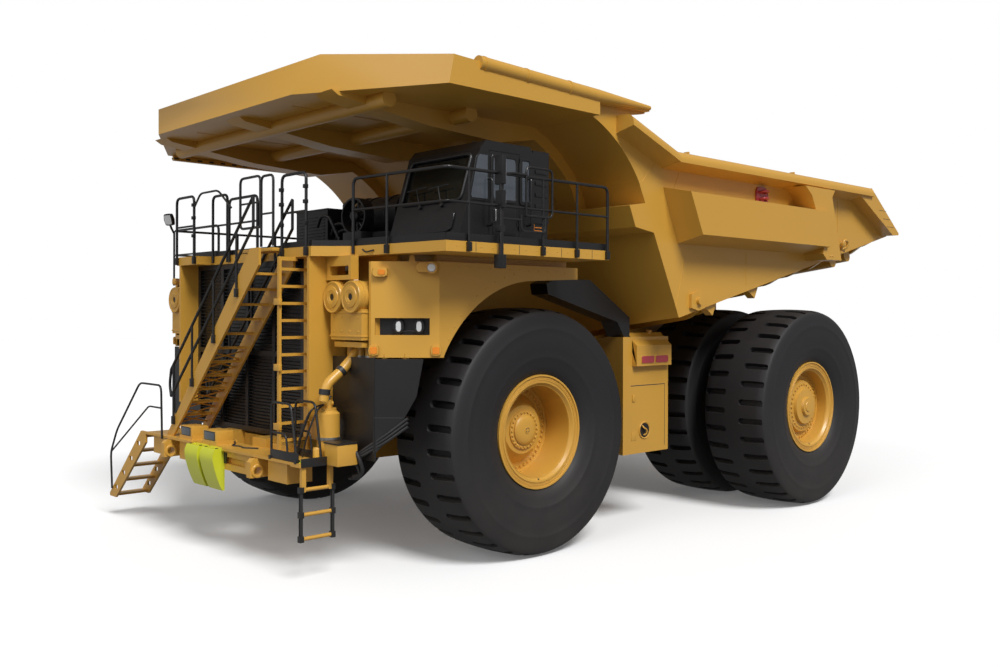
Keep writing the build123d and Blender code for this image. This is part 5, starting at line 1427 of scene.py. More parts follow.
dress("deck_rails", rails, "chassis", BLACK, ["handrails"])

# %% [markdown]
# A pressure bottle stands on the bumper, and a beam with a window in it holds the deck above the air cleaners.

# %% Bottle and beam
BOTTLE = (6710.0, 2440.0)
bottle = rod((*BOTTLE, PLATE_TOP + 0.3), (*BOTTLE, 2420), 172, 40) + rod((*BOTTLE, 2419), (*BOTTLE, 2465), 172, 40,
    120)
bottle += rod((*BOTTLE, 2440), (*BOTTLE, 2500), 120) + rod((*BOTTLE, 2480), (*BOTTLE, 2620), 50)
bottle += rod((BOTTLE[0] - 70, BOTTLE[1], 2570), (BOTTLE[0] + 90, BOTTLE[1], 2570), 36)
beam = cuboid((6460, 6600), (2210, 2860), (4430, 4791)) - cuboid((6400, 6700), (2300, 2800), (4500, 4640))
dress("bottle_and_beams", bottle + beam, "chassis")

# %% [markdown]
# ## Lamps, lenses and cleaner caps
# The lamps sit in the wings' slots. Each is a black housing with a rounded lens in it. The corner lamps are amber
# in small ochre frames. The air cleaners get ringed end caps with a black disc in the middle that paints the shade of
# the intake, and the boxes below them a lid line.

# %% Lamps and front details
def oval(wide, high, steps=28, power=3.0):
    """A rounded rectangle as (across, up) points."""
    points = []
    for k in range(steps):
        a = math.tau * k / steps
        c, s = math.cos(a), math.sin(a)
        points.append((wide / 2 * math.copysign(abs(c) ** (2 / power), c),
            high / 2 * math.copysign(abs(s) ** (2 / power), s)))
    return points


def metres(*values):
    return tuple(value / 1000 for value in values)


def flipped(meshes):
    """Copies of meshes for the truck's other side."""
    copies = []
    for mesh in meshes:
        copy = mesh.copy()
        for vert in copy.vertices:
            vert.co.y = -vert.co.y
        copy.flip_normals()
        copies.append(copy)
    return copies


PANEL_WAY = Vector((WING_Y - WING_IN, WING_X - CORNER_X, 0)).normalized()


def panel_spot(share, out, z):
    x, y = wing_point(share, out)
    return Vector((x / 1000, y / 1000, z))


lamps = [plate("slot_back", [(-0.40, -0.15), (0.40, -0.15), (0.40, 0.15), (-0.40, 0.15)],
    panel_spot(0.46, -135, 3.735), PANEL_WAY, 0.02, BLACK)]
for share in (0.40, 0.70):
    lamps += [
        plate("lamp_housing", oval(0.155, 0.215), panel_spot(share, -118, 3.735), PANEL_WAY, 0.085, BLACK, 0.012),
        plate("lamp_lens", oval(0.075, 0.150), panel_spot(share, -40, 3.735), PANEL_WAY, 0.014, "lamp lens", 0.005)]
lamps.append(tube("lamp_wire", [panel_spot(0.40, -60, 3.69), panel_spot(0.47, -40, 3.655),
    panel_spot(0.55, -40, 3.68), panel_spot(0.63, -40, 3.66), panel_spot(0.70, -60, 3.69)], 0.008, HOSE, 0.05))
for share, z in ((0.045, 3.385), (0.955, 3.385)):
    lamps += [
        plate("corner_frame", oval(0.15, 0.15, 24, 6), panel_spot(share, 2, z), PANEL_WAY, 0.035, OCHRE, 0.008),
        plate("corner_lens", oval(0.105, 0.105, 24, 6), panel_spot(share, 30, z), PANEL_WAY, 0.016, "amber lens",
            0.005)]
lamps += [
    plate("marker_frame", oval(0.22, 0.13, 24, 6), panel_spot(0.14, 2, 4.53), PANEL_WAY, 0.075, OCHRE, 0.012),
    plate("marker_lens", oval(0.10, 0.075, 24, 5), panel_spot(0.165, 75, 4.53), PANEL_WAY, 0.014, "amber lens",
        0.004)]
as_piece("wing_lamps", lamps + flipped(lamps), "chassis")

# %% [markdown]
# A small lamp on a bracket sits high on the wing's panel. A turned section gives its bell shape.

# %% Work lamp
work_lamp = [plate("work_lamp_bracket", oval(0.26, 0.14, 24, 7), panel_spot(0.80, 2, 4.60), PANEL_WAY, 0.11, OCHRE,
    0.012)]
spot = panel_spot(0.90, 130, 4.59)
work_lamp += [
    turned("work_lamp_body", [(0, -0.09), (0.055, -0.08), (0.075, 0.0), (0.085, 0.02), (0.085, 0.06), (0.07, 0.06),
        (0.066, 0.045), (0, 0.045)], spot, PANEL_WAY, OCHRE, 32),
    turned("work_lamp_lens", [(0, 0.046), (0.063, 0.046), (0.05, 0.058), (0, 0.064)], spot, PANEL_WAY, "lamp lens",
        32),
    tube("work_lamp_arm", [panel_spot(0.80, 90, 4.60), spot - PANEL_WAY * 0.05], 0.025, OCHRE, 0.02),
    plate("top_lug", [(-0.05, 0), (0.05, 0), (0.03, 0.09), (-0.03, 0.09)], panel_spot(0.6, -20, 4.69), PANEL_WAY,
        0.02, OCHRE)]
as_piece("work_lamp", work_lamp, "chassis")

# %% [markdown]
# Air is drawn in through two cans with ringed caps. Their rings are turned sections. Cones below them let the
# dust out, and the boxes have rows of studs that the scatter tree places.

# %% Air cleaner caps
caps = []
for y in (2.450, 2.935):
    at = Vector((6.650, y, 4.170))
    caps += [
        turned("cap_rings", [(0.242, -0.02), (0.242, 0.0), (0.236, 0.012), (0.218, 0.012), (0.212, 0.004),
            (0.160, 0.004), (0.155, 0.018), (0.105, 0.024), (0.098, 0.018), (0.098, -0.02)], at, AHEAD, OCHRE, 64),
        turned("cap_face", [(0.052, -0.01), (0.098, -0.01), (0.098, 0.020), (0.07, 0.022), (0.052, 0.012)], at, AHEAD,
            OCHRE, 48),
        # the black disc paints the shade inside the intake
        turned("cap_intake", [(0, 0.001), (0.054, 0.001), (0.054, 0.004), (0, 0.004)], at, AHEAD, BLACK, 48)]
    for x in (6.12, 6.55):
        caps.append(turned("can_band", [(0.238, -0.02), (0.250, -0.02), (0.250, 0.02), (0.238, 0.02)], (x, y, 4.170),
            AHEAD, OCHRE, 64))
caps += [
    block("box_lid", (6.02, 2.318, 3.93), (6.612, 3.152, 3.955), OCHRE),
    block("box_foot", (6.02, 2.318, 3.575), (6.612, 3.152, 3.60), OCHRE),
    scatter("box_bolts", STUD, row_places((6.601, 2.42, 3.87), (6.601, 3.05, 3.87), 4, AHEAD), OCHRE, 0.03),
    scatter("box_bolts_low", STUD, row_places((6.601, 2.42, 3.66), (6.601, 3.05, 3.66), 4, AHEAD), OCHRE, 0.03),
    block("drain_plate", (6.10, 2.37, 3.42), (6.56, 3.10, 3.50), OCHRE, 0.008)]
for y in (2.450, 2.692, 2.935):
    caps += [
        turned("drain_cone", [(0, -0.01), (0.12, -0.01), (0.12, 0.03), (0.075, 0.13), (0.072, 0.14), (0, 0.14)],
            (6.30, y, 3.535), (0, 0, -1), OCHRE, 32),
        turned("drain_band", [(0.068, -0.02), (0.08, -0.02), (0.08, 0.02), (0.068, 0.02)], (6.30, y, 3.27), UP, ZINC,
            32)]
as_piece("cleaner_caps", caps + flipped(caps), "chassis")

# %% [markdown]
# A row of studs follows the wheel arch. An arc through three given points near the arch's edge gives their places.

# %% Wing studs
arch_line = arc((4.05, 4.57), (5.12, 4.13), (5.60, 3.55), 9)
studs = [
    scatter("arch_studs", STUD, [(Vector((x, 3.9292, z)), Vector(LEFT)) for x, z in arch_line[1:]], OCHRE, 0.034),
    scatter("shelf_studs", STUD, row_places((3.1, 3.9292, 4.60), (5.4, 3.9292, 4.62), 12, LEFT), OCHRE, 0.028)]
as_piece("wing_studs", studs, "chassis")

# %% [markdown]
# ## Front steps, clamps and hoses
# The step rungs hang on flat rubber straps. Every deck post is held by a black clamp on the deck's band, and a dark
# kick plate closes the foot of the rails.

# %% Front end details
bits = []
for x in (6.812, 7.348):
    for y in (2.692, 2.728):
        bits.append(block("step_strap", (x - 0.022, y - 0.005, 0.640), (x + 0.022, y + 0.005, 1.36), HOSE, 0.002))
    for z in (0.66, 1.01, 1.37):
        bits.append(block("strap_clamp", (x - 0.035, 2.672, z - 0.045), (x + 0.035, 2.748, z + 0.045), BLACK))
bits += [
    block("step_strip", (6.90, 2.52, 1.758), (7.37, 2.745, 1.774), "signal yellow"),
    block("strip_board", (6.62, 2.755, 1.70), (7.38, 2.775, 1.83), BLACK),
    block("kick_front", (7.375, 1.95, 1.765), (7.395, 2.70, 1.90), BLACK),
    block("kick_back", (6.955, 1.93, 1.765), (6.970, 2.46, 1.88), BLACK)]
for x, y in ((6.96, 1.92), (7.37, 1.92), (6.96, 2.64), (7.37, 2.64)):
    bits.append(block("post_foot", (x - 0.035, y - 0.035, 1.745), (x + 0.035, y + 0.035, 1.80), BLACK))
print("steps:", len(bits), "parts")

# %% [markdown]
# The bumper carries two lamp boxes. Thin cables run between them and lie on the bumper's top plate.

# %% Bumper lamps, cables and bolts
for low, high in ((-1.24, -0.80), (-0.39, 0.08)):
    bits += [
        block("front_lamp_box", (7.02, low, 1.80), (7.325, high, 1.985), OCHRE, 0.012),
        block("front_lamp_lens", (7.318, low + 0.07, 1.83), (7.334, high - 0.07, 1.955), "grey glass", 0.005),
        block("front_lamp_guard", (7.316, low + 0.045, 1.815), (7.327, high - 0.045, 1.97), BLACK, 0.004)]
bits += [
    turned("plug", [(0, -0.08), (0.035, -0.08), (0.035, 0.05), (0.028, 0.06), (0, 0.06)], (7.10, -0.60, 1.86), UP,
        ZINC, 20),
    tube("front_cable", [(7.0, 0.08, 1.80), (7.05, 0.22, 1.772), (7.20, 0.34, 1.77), (7.12, 0.55, 1.77),
        (7.20, 0.72, 1.77), (7.05, 0.95, 1.77)], 0.013, HOSE, 0.1),
    tube("lamp_cable", [(7.0, -0.80, 1.84), (6.98, -0.66, 1.776), (7.0, -0.5, 1.776), (7.03, -0.38, 1.83)], 0.013,
        HOSE, 0.08)]
for y in (1.5, -1.5):
    for side in (-1, 1):
        bits.append(turned("lug_ring", [(0.064, -0.002), (0.105, -0.002), (0.105, 0.012), (0.098, 0.018),
            (0.07, 0.018), (0.064, 0.012)], (7.40, y + side * 0.060, 1.52), (0, side, 0), OCHRE, 40))
bits += [
    scatter("bumper_bolts", BOLT, row_places((7.05, -1.95, 1.760), (7.05, -1.45, 1.760), 3, UP)
        + row_places((6.75, 0.35, 1.760), (6.75, 0.95, 1.760), 3, UP), OCHRE, 0.05),
    block("chock_bracket", (7.29, -0.70, 1.50), (7.345, 0.46, 1.68), BLACK, 0.01)]
for low in (-0.62, -0.07):
    for y in (low + 0.045, low + 0.405):
        bits.append(turned("chock_bolt", [(0, -0.01), (0.024, -0.01), (0.024, 0.01), (0, 0.01)], (7.45, y, 1.738), UP,
            BLACK, 16))
# the lower flight of the stair is open: crossed bars tie its stringers
for k in range(9):
    low_y, low_z = metres(*stair_point(0.05 + 0.05 * k, -60))
    high_y, high_z = metres(*stair_point(0.10 + 0.05 * k, -60))
    bits += [
        tube("cross_bar", [(6.67, low_y, low_z), (7.28, high_y, high_z)], 0.013, OCHRE, 0.01, 8),
        tube("cross_bar", [(6.67, high_y, high_z), (7.28, low_y, low_z)], 0.013, OCHRE, 0.01, 8)]
for share in (0.06, 0.3, 0.56, 0.82):
    y, z = metres(*stair_point(share, -20))
    for x in (7.3203, 6.6297):
        bits.append(block("rail_clamp", (x - 0.03, y - 0.035, z - 0.07), (x + 0.03, y + 0.035, z + 0.07), BLACK,
            0.008))
for z in (2.20, 3.10, 4.10):
    bits.append(block("ladder_bracket", (7.16, 1.70, z - 0.05), (7.215, 1.86, z + 0.05), OCHRE, 0.006))
as_piece("front_fittings", bits, "chassis")

# %% [markdown]
# A black plate with a seam fills the gap between the bumper and the tyre. Its black paints the shade of the engine bay
# seen through that gap. Three hoses cross behind it.

# %% Aprons, black for painted shade
# the black plate paints the shade seen through the gap between the bumper and the tyre
apron = [
    plate("apron", [(-0.02, -0.62), (0.0, 0.80), (0.72, 0.80), (0.62, 0.25), (0.34, -0.25)], (6.46, 3.27, 2.46),
        PANEL_WAY, 0.03, BLACK, 0.004),
    plate("apron_seam", [(0.0, -0.004), (0.0, 0.004), (0.44, 0.004), (0.44, -0.004)], (6.482, 3.292, 2.40), PANEL_WAY,
        0.004, TRIM)]
for k in range(3):
    apron.append(tube("apron_hose", [(6.62, 2.76 + 0.04 * k, 1.70), (6.56, 3.08, 1.82 + 0.04 * k),
        (6.38, 3.42, 2.04 + 0.05 * k), (6.16, 3.68, 2.28 + 0.06 * k)], 0.022, HOSE, 0.14, 12))
as_piece("aprons", apron + flipped(apron), "chassis")

# %% [markdown]
# A wide cooling pipe bends down from the cleaners, and thinner hoses leave the bottle. All are tubes through a
# few points with their corners rounded. They are fixed at both ends, so none has to be simulated.

# %% Pipes and hoses
pipes = [
    tube("cooling_pipe", [(6.90, 2.60, 2.62), (6.86, 2.60, 2.86), (6.55, 2.62, 3.10), (6.30, 2.66, 3.40)], 0.075,
        OCHRE, 0.16, 20),
    tube("pipe_clamp", [(6.63, 2.614, 3.04), (6.58, 2.617, 3.08)], 0.088, HOSE, 0.01, 24),
    tube("pipe_clamp", [(6.885, 2.60, 2.72), (6.875, 2.60, 2.80)], 0.086, HOSE, 0.01, 24)]
for k, (dx, dy) in enumerate(((0.04, 0.10), (0.08, -0.02), (0.0, -0.11))):
    pipes.append(tube("bottle_hose", [(6.76, 2.44, 2.57), (6.92 + dx, 2.42 + dy, 2.50), (7.02 + dx, 2.30 + dy, 2.10),
        (6.98 + dx, 2.12 + dy, 1.77)], 0.014, HOSE, 0.16, 10))
pipes += [
    turned("bottle_band", [(0.172, -0.02), (0.184, -0.02), (0.184, 0.02), (0.172, 0.02)], (6.71, 2.44, 2.05), UP,
        ZINC, 40),
    turned("bottle_valve", [(0, 0), (0.03, 0), (0.03, 0.05), (0.05, 0.06), (0.05, 0.08), (0, 0.08)],
        (6.71, 2.44, 2.60), UP, ZINC, 20),
    block("small_box", (6.60, 2.70, 1.70), (6.95, 3.05, 2.02), OCHRE, 0.015),
    block("small_box_edge", (6.59, 2.69, 2.012), (6.96, 3.06, 2.035), BLACK, 0.008),
    turned("small_can", [(0, 0), (0.06, 0), (0.06, 0.16), (0.05, 0.18), (0, 0.18)], (6.98, 2.55, 1.76), UP, OCHRE,
        24),
    tube("side_hose", [(6.62, 3.02, 1.90), (6.58, 3.10, 1.74), (6.50, 3.06, 1.56), (6.55, 2.86, 1.50)], 0.03, HOSE,
        0.14, 12),
    tube("side_hose", [(6.62, 2.96, 1.82), (6.56, 3.02, 1.62), (6.48, 2.96, 1.48), (6.55, 2.76, 1.46)], 0.024, HOSE,
        0.14, 12)]
as_piece("pipes_and_hoses", pipes, "chassis")

# %% [markdown]
# Clamps hold the posts on the deck's band, and loops of tube make the gates at the head of the stairs.

# %% Deck fittings
BAND_LOW, BAND_HIGH = 4.80, 4.93
clamps = []
deck_posts = [(2.9603, 4.7243), (3.68, 4.7243), (4.43, 4.7243), (5.90, 4.7243)]
for x, y in deck_posts:
    clamps.append(block("post_clamp", (x - 0.035, 4.7005, BAND_LOW), (x + 0.035, y + 0.032, BAND_HIGH), BLACK, 0.008))
clamps.append(block("post_clamp", (6.385, 3.465, BAND_LOW), (6.447, 3.535, BAND_HIGH), BLACK, 0.008))
for y in (-2.25, -1.56, 1.45, 2.15):
    clamps.append(block("post_clamp", (6.8995, y - 0.035, BAND_LOW), (6.955, y + 0.035, BAND_HIGH), BLACK, 0.008))
clamps.append(block("kick_plate", (2.95, 4.672, 4.94), (6.28, 4.692, 5.05), BLACK, 0.004))
clamps.append(plate("kick_slant", [(-0.98, -0.055), (0.98, -0.055), (0.98, 0.055), (-0.98, 0.055)],
    (6.345, 3.70, 4.995), (1, 0.069, 0), 0.015, BLACK))
clamps.append(tube("deck_cable", [(6.455, 2.95, 4.88), (6.47, 3.05, 4.83), (6.43, 3.2, 4.86)], 0.012, HOSE, 0.05))
# bolts and joint lines of the deck's band
clamps.append(scatter("band_bolts", STUD, row_places((3.2, 4.701, 4.87), (6.1, 4.701, 4.87), 14, LEFT), OCHRE, 0.022))
for x in (3.3, 4.0, 4.9, 5.75):
    clamps.append(block("band_joint", (x - 0.004, 4.698, 4.80), (x + 0.004, 4.7025, 4.935), TRIM, 0.001))
# gates, latches and the far flood lamp
FLOOD_AT, FLOOD_WAY = (6.13, -4.26, 5.83), (0.85, 0.25, -0.25)
for y in (1.45, 2.15, -1.56):
    for z in (5.30, 5.62, 5.85):
        clamps.append(block("gate_clamp", (6.905, y - 0.035, z - 0.03), (6.965, y + 0.035, z + 0.03), BLACK, 0.008))
clamps += [
    tube("gate_loop", [(7.02, 0.95, 5.30), (7.02, 0.95, 6.12), (7.02, 0.30, 6.12), (7.02, 0.30, 5.30),
        (7.02, 0.95, 5.30)], 0.021, BLACK, 0.10),
    tube("gate_loop", [(7.02, 1.35, 4.98), (7.02, 1.35, 6.10), (7.02, 0.98, 6.10), (7.02, 0.98, 4.98)], 0.021, BLACK,
        0.10),
    tube("gate_bar", [(7.02, 0.95, 5.70), (7.02, 0.30, 5.70)], 0.016, BLACK),
    tube("gate_bar", [(7.02, 0.96, 5.50), (7.02, 1.35, 5.50)], 0.016, BLACK),
    block("gate_plate", (6.70, 0.26, 4.90), (7.05, 1.38, 4.955), OCHRE, 0.01),
    tube("entry_rail", [(6.9243, -1.56, 5.80), (6.98, -1.20, 6.02), (6.98, -0.55, 6.02), (6.92, -0.20, 5.70)], 0.018,
        BLACK, 0.10),
    tube("flood_arm", [(6.0243, -4.3243, 5.55), (6.10, -4.30, 5.66), (6.16, -4.24, 5.76)], 0.022, BLACK, 0.05),
    plate("flood_body", oval(0.24, 0.24, 24, 6), FLOOD_AT, FLOOD_WAY, 0.07, BLACK, 0.015),
    plate("flood_lens", oval(0.19, 0.19, 24, 6), Vector(FLOOD_AT) + Vector(FLOOD_WAY).normalized() * 0.068, FLOOD_WAY,
        0.008, "lamp lens", 0.003)]
as_piece("deck_fittings", clamps, "chassis")

# %% [markdown]
# ## Cab
# The cab's openings get rounded rubber frames, wipers, mirrors on a mast and grab loops beside the door. Inside, the
# seat's solids are covered by soft cushions, and the dash has a pale instrument hood that shows through the screen.

# %% Cab details
def window_frame(name, low, high, y, wide=0.05, thick=0.02):
    """A rounded frame round a side window, in the (x, z) plane just outside y."""
    (x0, z0), (x1, z1) = low, high
    middle, size = ((x0 + x1) / 2, (z0 + z1) / 2), (x1 - x0, z1 - z0)
    outer, inner = oval(size[0] + 2 * wide, size[1] + 2 * wide, 48, 9), oval(size[0] - 0.012, size[1] - 0.012, 48, 12)
    work = bmesh.new()
    rings = []
    for outline, rise in ((outer, -0.004), (outer, thick * 0.6), ([(a * 0.985, b * 0.985) for a, b in outer], thick),
            ([(a * 1.02, b * 1.02) for a, b in inner], thick), (inner, thick * 0.6), (inner, -0.004)):
        rings.append([work.verts.new((middle[0] + a, y + rise, middle[1] + b)) for a, b in outline])
    for first, second in zip(rings, rings[1:] + rings[:1]):
        for k in range(len(first)):
            work.faces.new((first[k - 1], first[k], second[k], second[k - 1]))
    return finished(name, work, BLACK, 40)


cab = [window_frame("frame_rear", (4.16, 5.65), (4.33, 6.30), 4.15)]
for grow_by, rise, finish in ((0.035, 0.012, BLACK), (0.0, 0.018, "grey glass")):
    quarter = [(0.155 + grow_by, -0.33 - grow_by), (-0.16 - grow_by, -0.33 - grow_by), (-0.17 - grow_by, -0.28),
        (-0.04 - grow_by, 0.28), (0.0, 0.325 + grow_by), (0.155 + grow_by, 0.325 + grow_by)]
    cab.append(plate("quarter_pane", quarter, (5.20, 4.149, 5.975), LEFT, rise, finish, 0.003))
cab += [
    plate("rear_pane", oval(0.155, 0.63, 32, 12), (4.245, 4.1515, 5.975), LEFT, 0.006, "grey glass"),
    scatter("roof_studs", STUD, row_places((4.2, 3.9, 6.526), (5.1, 3.9, 6.526), 4, UP), BLACK, 0.045)]


print("side panes:", len(cab), "parts")

# %% [markdown]
# The windshield leans back with the cab's front face. Its height gives its place, so the frame, the wipers and the
# panel below all lie on the same slope.

# %% Windshield and wipers
def screen_x(z):
    """The windshield's lean, from the cab's front face at two heights."""
    return 5.60 + (z - 5.03) * (5.18 - 5.60) / (6.40 - 5.03)


up = Vector((screen_x(6.33) - screen_x(5.62), 0, 0.71)).normalized()
out_way = Vector((up.z, 0, -up.x))
screen = []
for y, z in ((2.54, 5.62), (3.99, 5.62), (3.99, 6.33), (2.54, 6.33)):
    screen.append(Vector((screen_x(z), y, z)) + out_way * 0.004)
cab.append(tube("screen_frame", [screen[0].lerp(screen[1], 0.5), screen[1], screen[2], screen[3], screen[0],
    screen[0].lerp(screen[1], 0.499)], 0.028, BLACK, 0.10, 12))
for share in (0.36, 0.72):
    foot = screen[0].lerp(screen[1], share) + out_way * 0.03 - up * 0.06
    cab.append(tube("wiper_arm", [foot, foot + up * 0.30 + Vector((0, -0.16, 0)) + out_way * 0.02], 0.009, BLACK))
    tip = foot + up * 0.30 + Vector((0, -0.16, 0)) + out_way * 0.01
    cab += [
        tube("wiper_blade", [tip - Vector((0, 0.24, 0)) - up * 0.02, tip + Vector((0, 0.22, 0)) + up * 0.02], 0.010,
            HOSE),
        turned("wiper_hub", [(0, -0.04), (0.035, -0.04), (0.035, 0.01), (0, 0.02)], foot, out_way, BLACK, 20)]
hood_foot = Vector((screen_x(5.30), 3.265, 5.30)) + out_way * 0.002
cab += [
    plate("hood_panel", oval(1.36, 0.34, 32, 7), hood_foot, out_way, 0.025, BLACK, 0.008),
    scatter("hood_bolts", STUD, [(hood_foot + out_way * 0.022 + Vector((0, dy, 0)) + up * dz, out_way)
        for dy in (-0.62, 0, 0.62) for dz in (-0.12, 0.12)], BLACK, 0.022),
    tube("grab_loop", [(4.20, 4.15, 6.02), (4.20, 4.24, 6.02), (4.20, 4.24, 5.30), (4.20, 4.15, 5.30)], 0.018, BLACK,
        0.05),
    tube("grab_loop", [(5.03, 4.15, 5.95), (5.03, 4.25, 5.95), (5.03, 4.25, 5.25), (5.03, 4.15, 5.25)], 0.018, BLACK,
        0.05)]
for z in (5.62, 5.80, 5.98, 6.16):
    cab.append(block("rear_louvre", (3.74, 4.118, z - 0.03), (4.0, 4.135, z + 0.03), BLACK, 0.006))
cab.append(block("rear_seam", (3.70, 4.099, 5.52), (4.04, 4.124, 5.535), BLACK, 0.003))
for z in (5.23, 5.28):
    cab.append(block("strap_mark", (3.75, 4.10, z), (4.01, 4.108, z + 0.014), "amber lens", 0.002))
cab.append(block("strap_mark", (3.998, 4.10, 5.20), (4.012, 4.108, 5.36), "amber lens", 0.002))
as_piece("cab_fittings", cab, "chassis")

# %% [markdown]
# The mirrors stand out on a mast where the driver sees them past the deck. Loops guard the door's side.

# %% Mirrors and loops
mast = [
    tube("mirror_mast", [(5.33, 4.772, 4.62), (5.33, 4.772, 6.18)], 0.034, BLACK, 0.02, 14),
    block("mast_foot", (5.25, 4.7005, 4.58), (5.41, 4.80, 4.78), BLACK, 0.012),
    block("mast_bracket", (5.275, 4.70, 5.10), (5.385, 4.80, 5.20), BLACK, 0.01),
    block("mirror_back", (5.30, 4.66, 5.78), (5.37, 4.845, 6.20), BLACK, 0.03),
    block("mirror_back", (5.30, 4.68, 5.44), (5.37, 4.845, 5.70), BLACK, 0.03),
    tube("mirror_arm", [(5.33, 4.772, 5.93), (5.10, 4.772, 5.97), (4.81, 4.75, 5.97)], 0.016, BLACK, 0.05),
    tube("mirror_arm", [(5.33, 4.772, 5.30), (4.91, 4.75, 5.30)], 0.016, BLACK, 0.05)]
for low_z, high_z in ((5.81, 6.17), (5.47, 5.67)):
    mast.append(plate("mirror_face", oval(0.14, high_z - low_z, 28, 5), (5.299, 4.762, (low_z + high_z) / 2),
        (-1, 0, 0), 0.006, "polished rod", 0.002))
mast += [
    tube("side_loop", [(4.81, 4.7243, 5.37), (4.81, 4.75, 5.37), (4.81, 4.75, 6.09), (4.26, 4.75, 6.09),
        (4.26, 4.75, 5.37), (4.81, 4.75, 5.37)], 0.018, BLACK, 0.09),
    tube("side_loop", [(4.91, 4.75, 5.38), (4.91, 4.75, 5.14), (4.41, 4.75, 5.14), (4.41, 4.75, 5.38)], 0.016, BLACK,
        0.07)]
as_piece("mirrors_and_loops", mast, "chassis")

# %% [markdown]
# What sits on the door has to swing with it. These parts are joined to a piece that rides on the door's body.

# %% Door fittings
door = [
    window_frame("door_frame", (4.45, 5.65), (4.93, 6.30), 4.15, 0.04, 0.014),
    plate("door_pane", oval(0.46, 0.63, 32, 12), (4.69, 4.1515, 5.975), LEFT, 0.006, "grey glass"),
    tube("door_handle", [(4.90, 4.15, 5.32), (4.90, 4.19, 5.32), (4.90, 4.19, 5.50), (4.90, 4.15, 5.50)], 0.012, ZINC,
        0.03),
    block("door_lock", (4.86, 4.148, 5.54), (4.94, 4.166, 5.60), BLACK, 0.008),
    block("door_panel", (4.45, 4.146, 5.12), (4.93, 4.158, 5.56), BLACK, 0.02)]
as_piece("door_fittings", door, "cab_door")

# %% [markdown]
# The seat is soft, so its cushions swell a little. The dash stays hard.

# %% Seat and dash
def cushion(name, low, high, puff):
    """A soft cushion: a box with round corners whose faces swell."""
    work = bmesh.new()
    bmesh.ops.create_cube(work, size=2.0)
    bmesh.ops.subdivide_edges(work, edges=work.edges[:], cuts=7, use_grid_fill=True)
    size = [(b - a) / 2 for a, b in zip(low, high)]
    middle = [(a + b) / 2 for a, b in zip(low, high)]
    for vert in work.verts:
        p = vert.co.copy()
        round_off = sum(abs(c) ** 8 for c in p) ** (1 / 8)
        p /= max(round_off, 1.0)
        swell = 1 - max(abs(p.x), abs(p.y)) ** 4 * 0.5
        vert.co = Vector((middle[0] + p.x * size[0], middle[1] + p.y * size[1],
            middle[2] + p.z * size[2] + math.copysign(puff, p.z) * swell * abs(p.z)))
    mesh = finished(name, work, "seat cloth", 80)
    piece = as_piece(name, [mesh], "chassis")
    return piece


SEAT_FLOOR = 5.09
cushion("seat_cushion", (4.42, 2.99, SEAT_FLOOR + 0.49), (4.97, 3.51, SEAT_FLOOR + 0.60), 0.02)
cushion("seat_back", (4.44, 3.01, SEAT_FLOOR + 0.56), (4.56, 3.49, SEAT_FLOOR + 1.18), 0.01)
dash = [
    block("dash_hood", (5.10, 2.95, SEAT_FLOOR + 0.555), (5.25, 3.60, SEAT_FLOOR + 0.66), TRIM, 0.04),
    block("dash_screen", (5.07, 3.65, SEAT_FLOOR + 0.56), (5.10, 3.90, SEAT_FLOOR + 0.72), TRIM, 0.01)]
as_piece("dash_hood", dash, "chassis")

# %% [markdown]
# ## Deck machinery, tank and side details
# Behind the rails stand a cabinet with louvres and a drum with bolted ends. The tank has a door seam, reflectors and
# a filler recess with a bent hose. The bed carries rings, seams and notches.

# %% Deck and tank details
deck = []
for k in range(9):
    z = 5.14 + 0.055 * k
    deck.append(block("cabinet_louvre", (5.592, -0.20, z), (5.612, 0.60, z + 0.028), BLACK, 0.006))
deck += [
    block("cabinet_lid", (4.69, -0.31, 5.700), (5.61, 0.71, 5.728), BLACK, 0.01),
    tube("cabinet_loop", [(5.2, 0.702, 5.30), (5.2, 0.76, 5.30), (5.2, 0.76, 5.56), (5.2, 0.702, 5.56)], 0.012, BLACK,
        0.03)]
for y, side in ((1.10, -1), (2.25, 1)):
    deck += [
        turned("drum_flange", [(0, -0.02), (0.35, -0.02), (0.35, 0.02), (0.30, 0.03), (0.22, 0.035), (0.2, 0.06),
            (0, 0.06)], (5.0, y, 5.56), (0, side, 0), BLACK, 56),
        scatter("drum_bolts", BOLT, ring_places((5.0, y + side * 0.022, 5.56), (0, side, 0), 0.325, 16), BLACK,
            0.036)]
FAN_AT, FAN_WAY = (5.62, 1.62, 5.52), (1, 0.1, 0)
for y in (1.4, 1.95):
    deck.append(turned("drum_band", [(0.328, -0.025), (0.342, -0.025), (0.342, 0.025), (0.328, 0.025)],
        (5.0, y, 5.56), LEFT, BLACK, 56))
deck += [
    turned("fan_ring", [(0.27, -0.10), (0.30, -0.10), (0.30, 0.10), (0.27, 0.10)], FAN_AT, FAN_WAY, BLACK, 48),
    turned("fan_hub", [(0, -0.10), (0.09, -0.10), (0.09, 0.08), (0.06, 0.12), (0, 0.12)], FAN_AT, FAN_WAY, BLACK, 32)]
for k in range(10):
    a = math.tau * k / 10
    deck.append(tube("fan_spoke", [(5.62, 1.62 + 0.07 * math.cos(a), 5.52 + 0.07 * math.sin(a)),
        (5.62, 1.62 + 0.28 * math.cos(a + 0.3), 5.52 + 0.28 * math.sin(a + 0.3))], 0.012, BLACK))
deck.append(block("fan_foot", (5.50, 1.36, 5.03), (5.74, 1.88, 5.26), BLACK, 0.02))
for k, x in enumerate((5.45, 5.52, 5.80)):
    deck.append(tube("deck_hose", [(x, 0.70, 5.15 + 0.12 * k), (x + 0.05, 0.88, 5.32 + 0.12 * k),
        (x, 1.05, 5.35 + 0.1 * k), (x - 0.1, 1.2, 5.15)], 0.028, HOSE, 0.10, 12))
deck.append(tube("intake_pipe", [(5.25, 1.05, 5.56), (5.25, 0.9, 5.75), (5.25, 0.72, 5.80), (5.1, 0.6, 5.72)], 0.07,
    BLACK, 0.12, 16))
as_piece("deck_machinery", deck, "chassis")
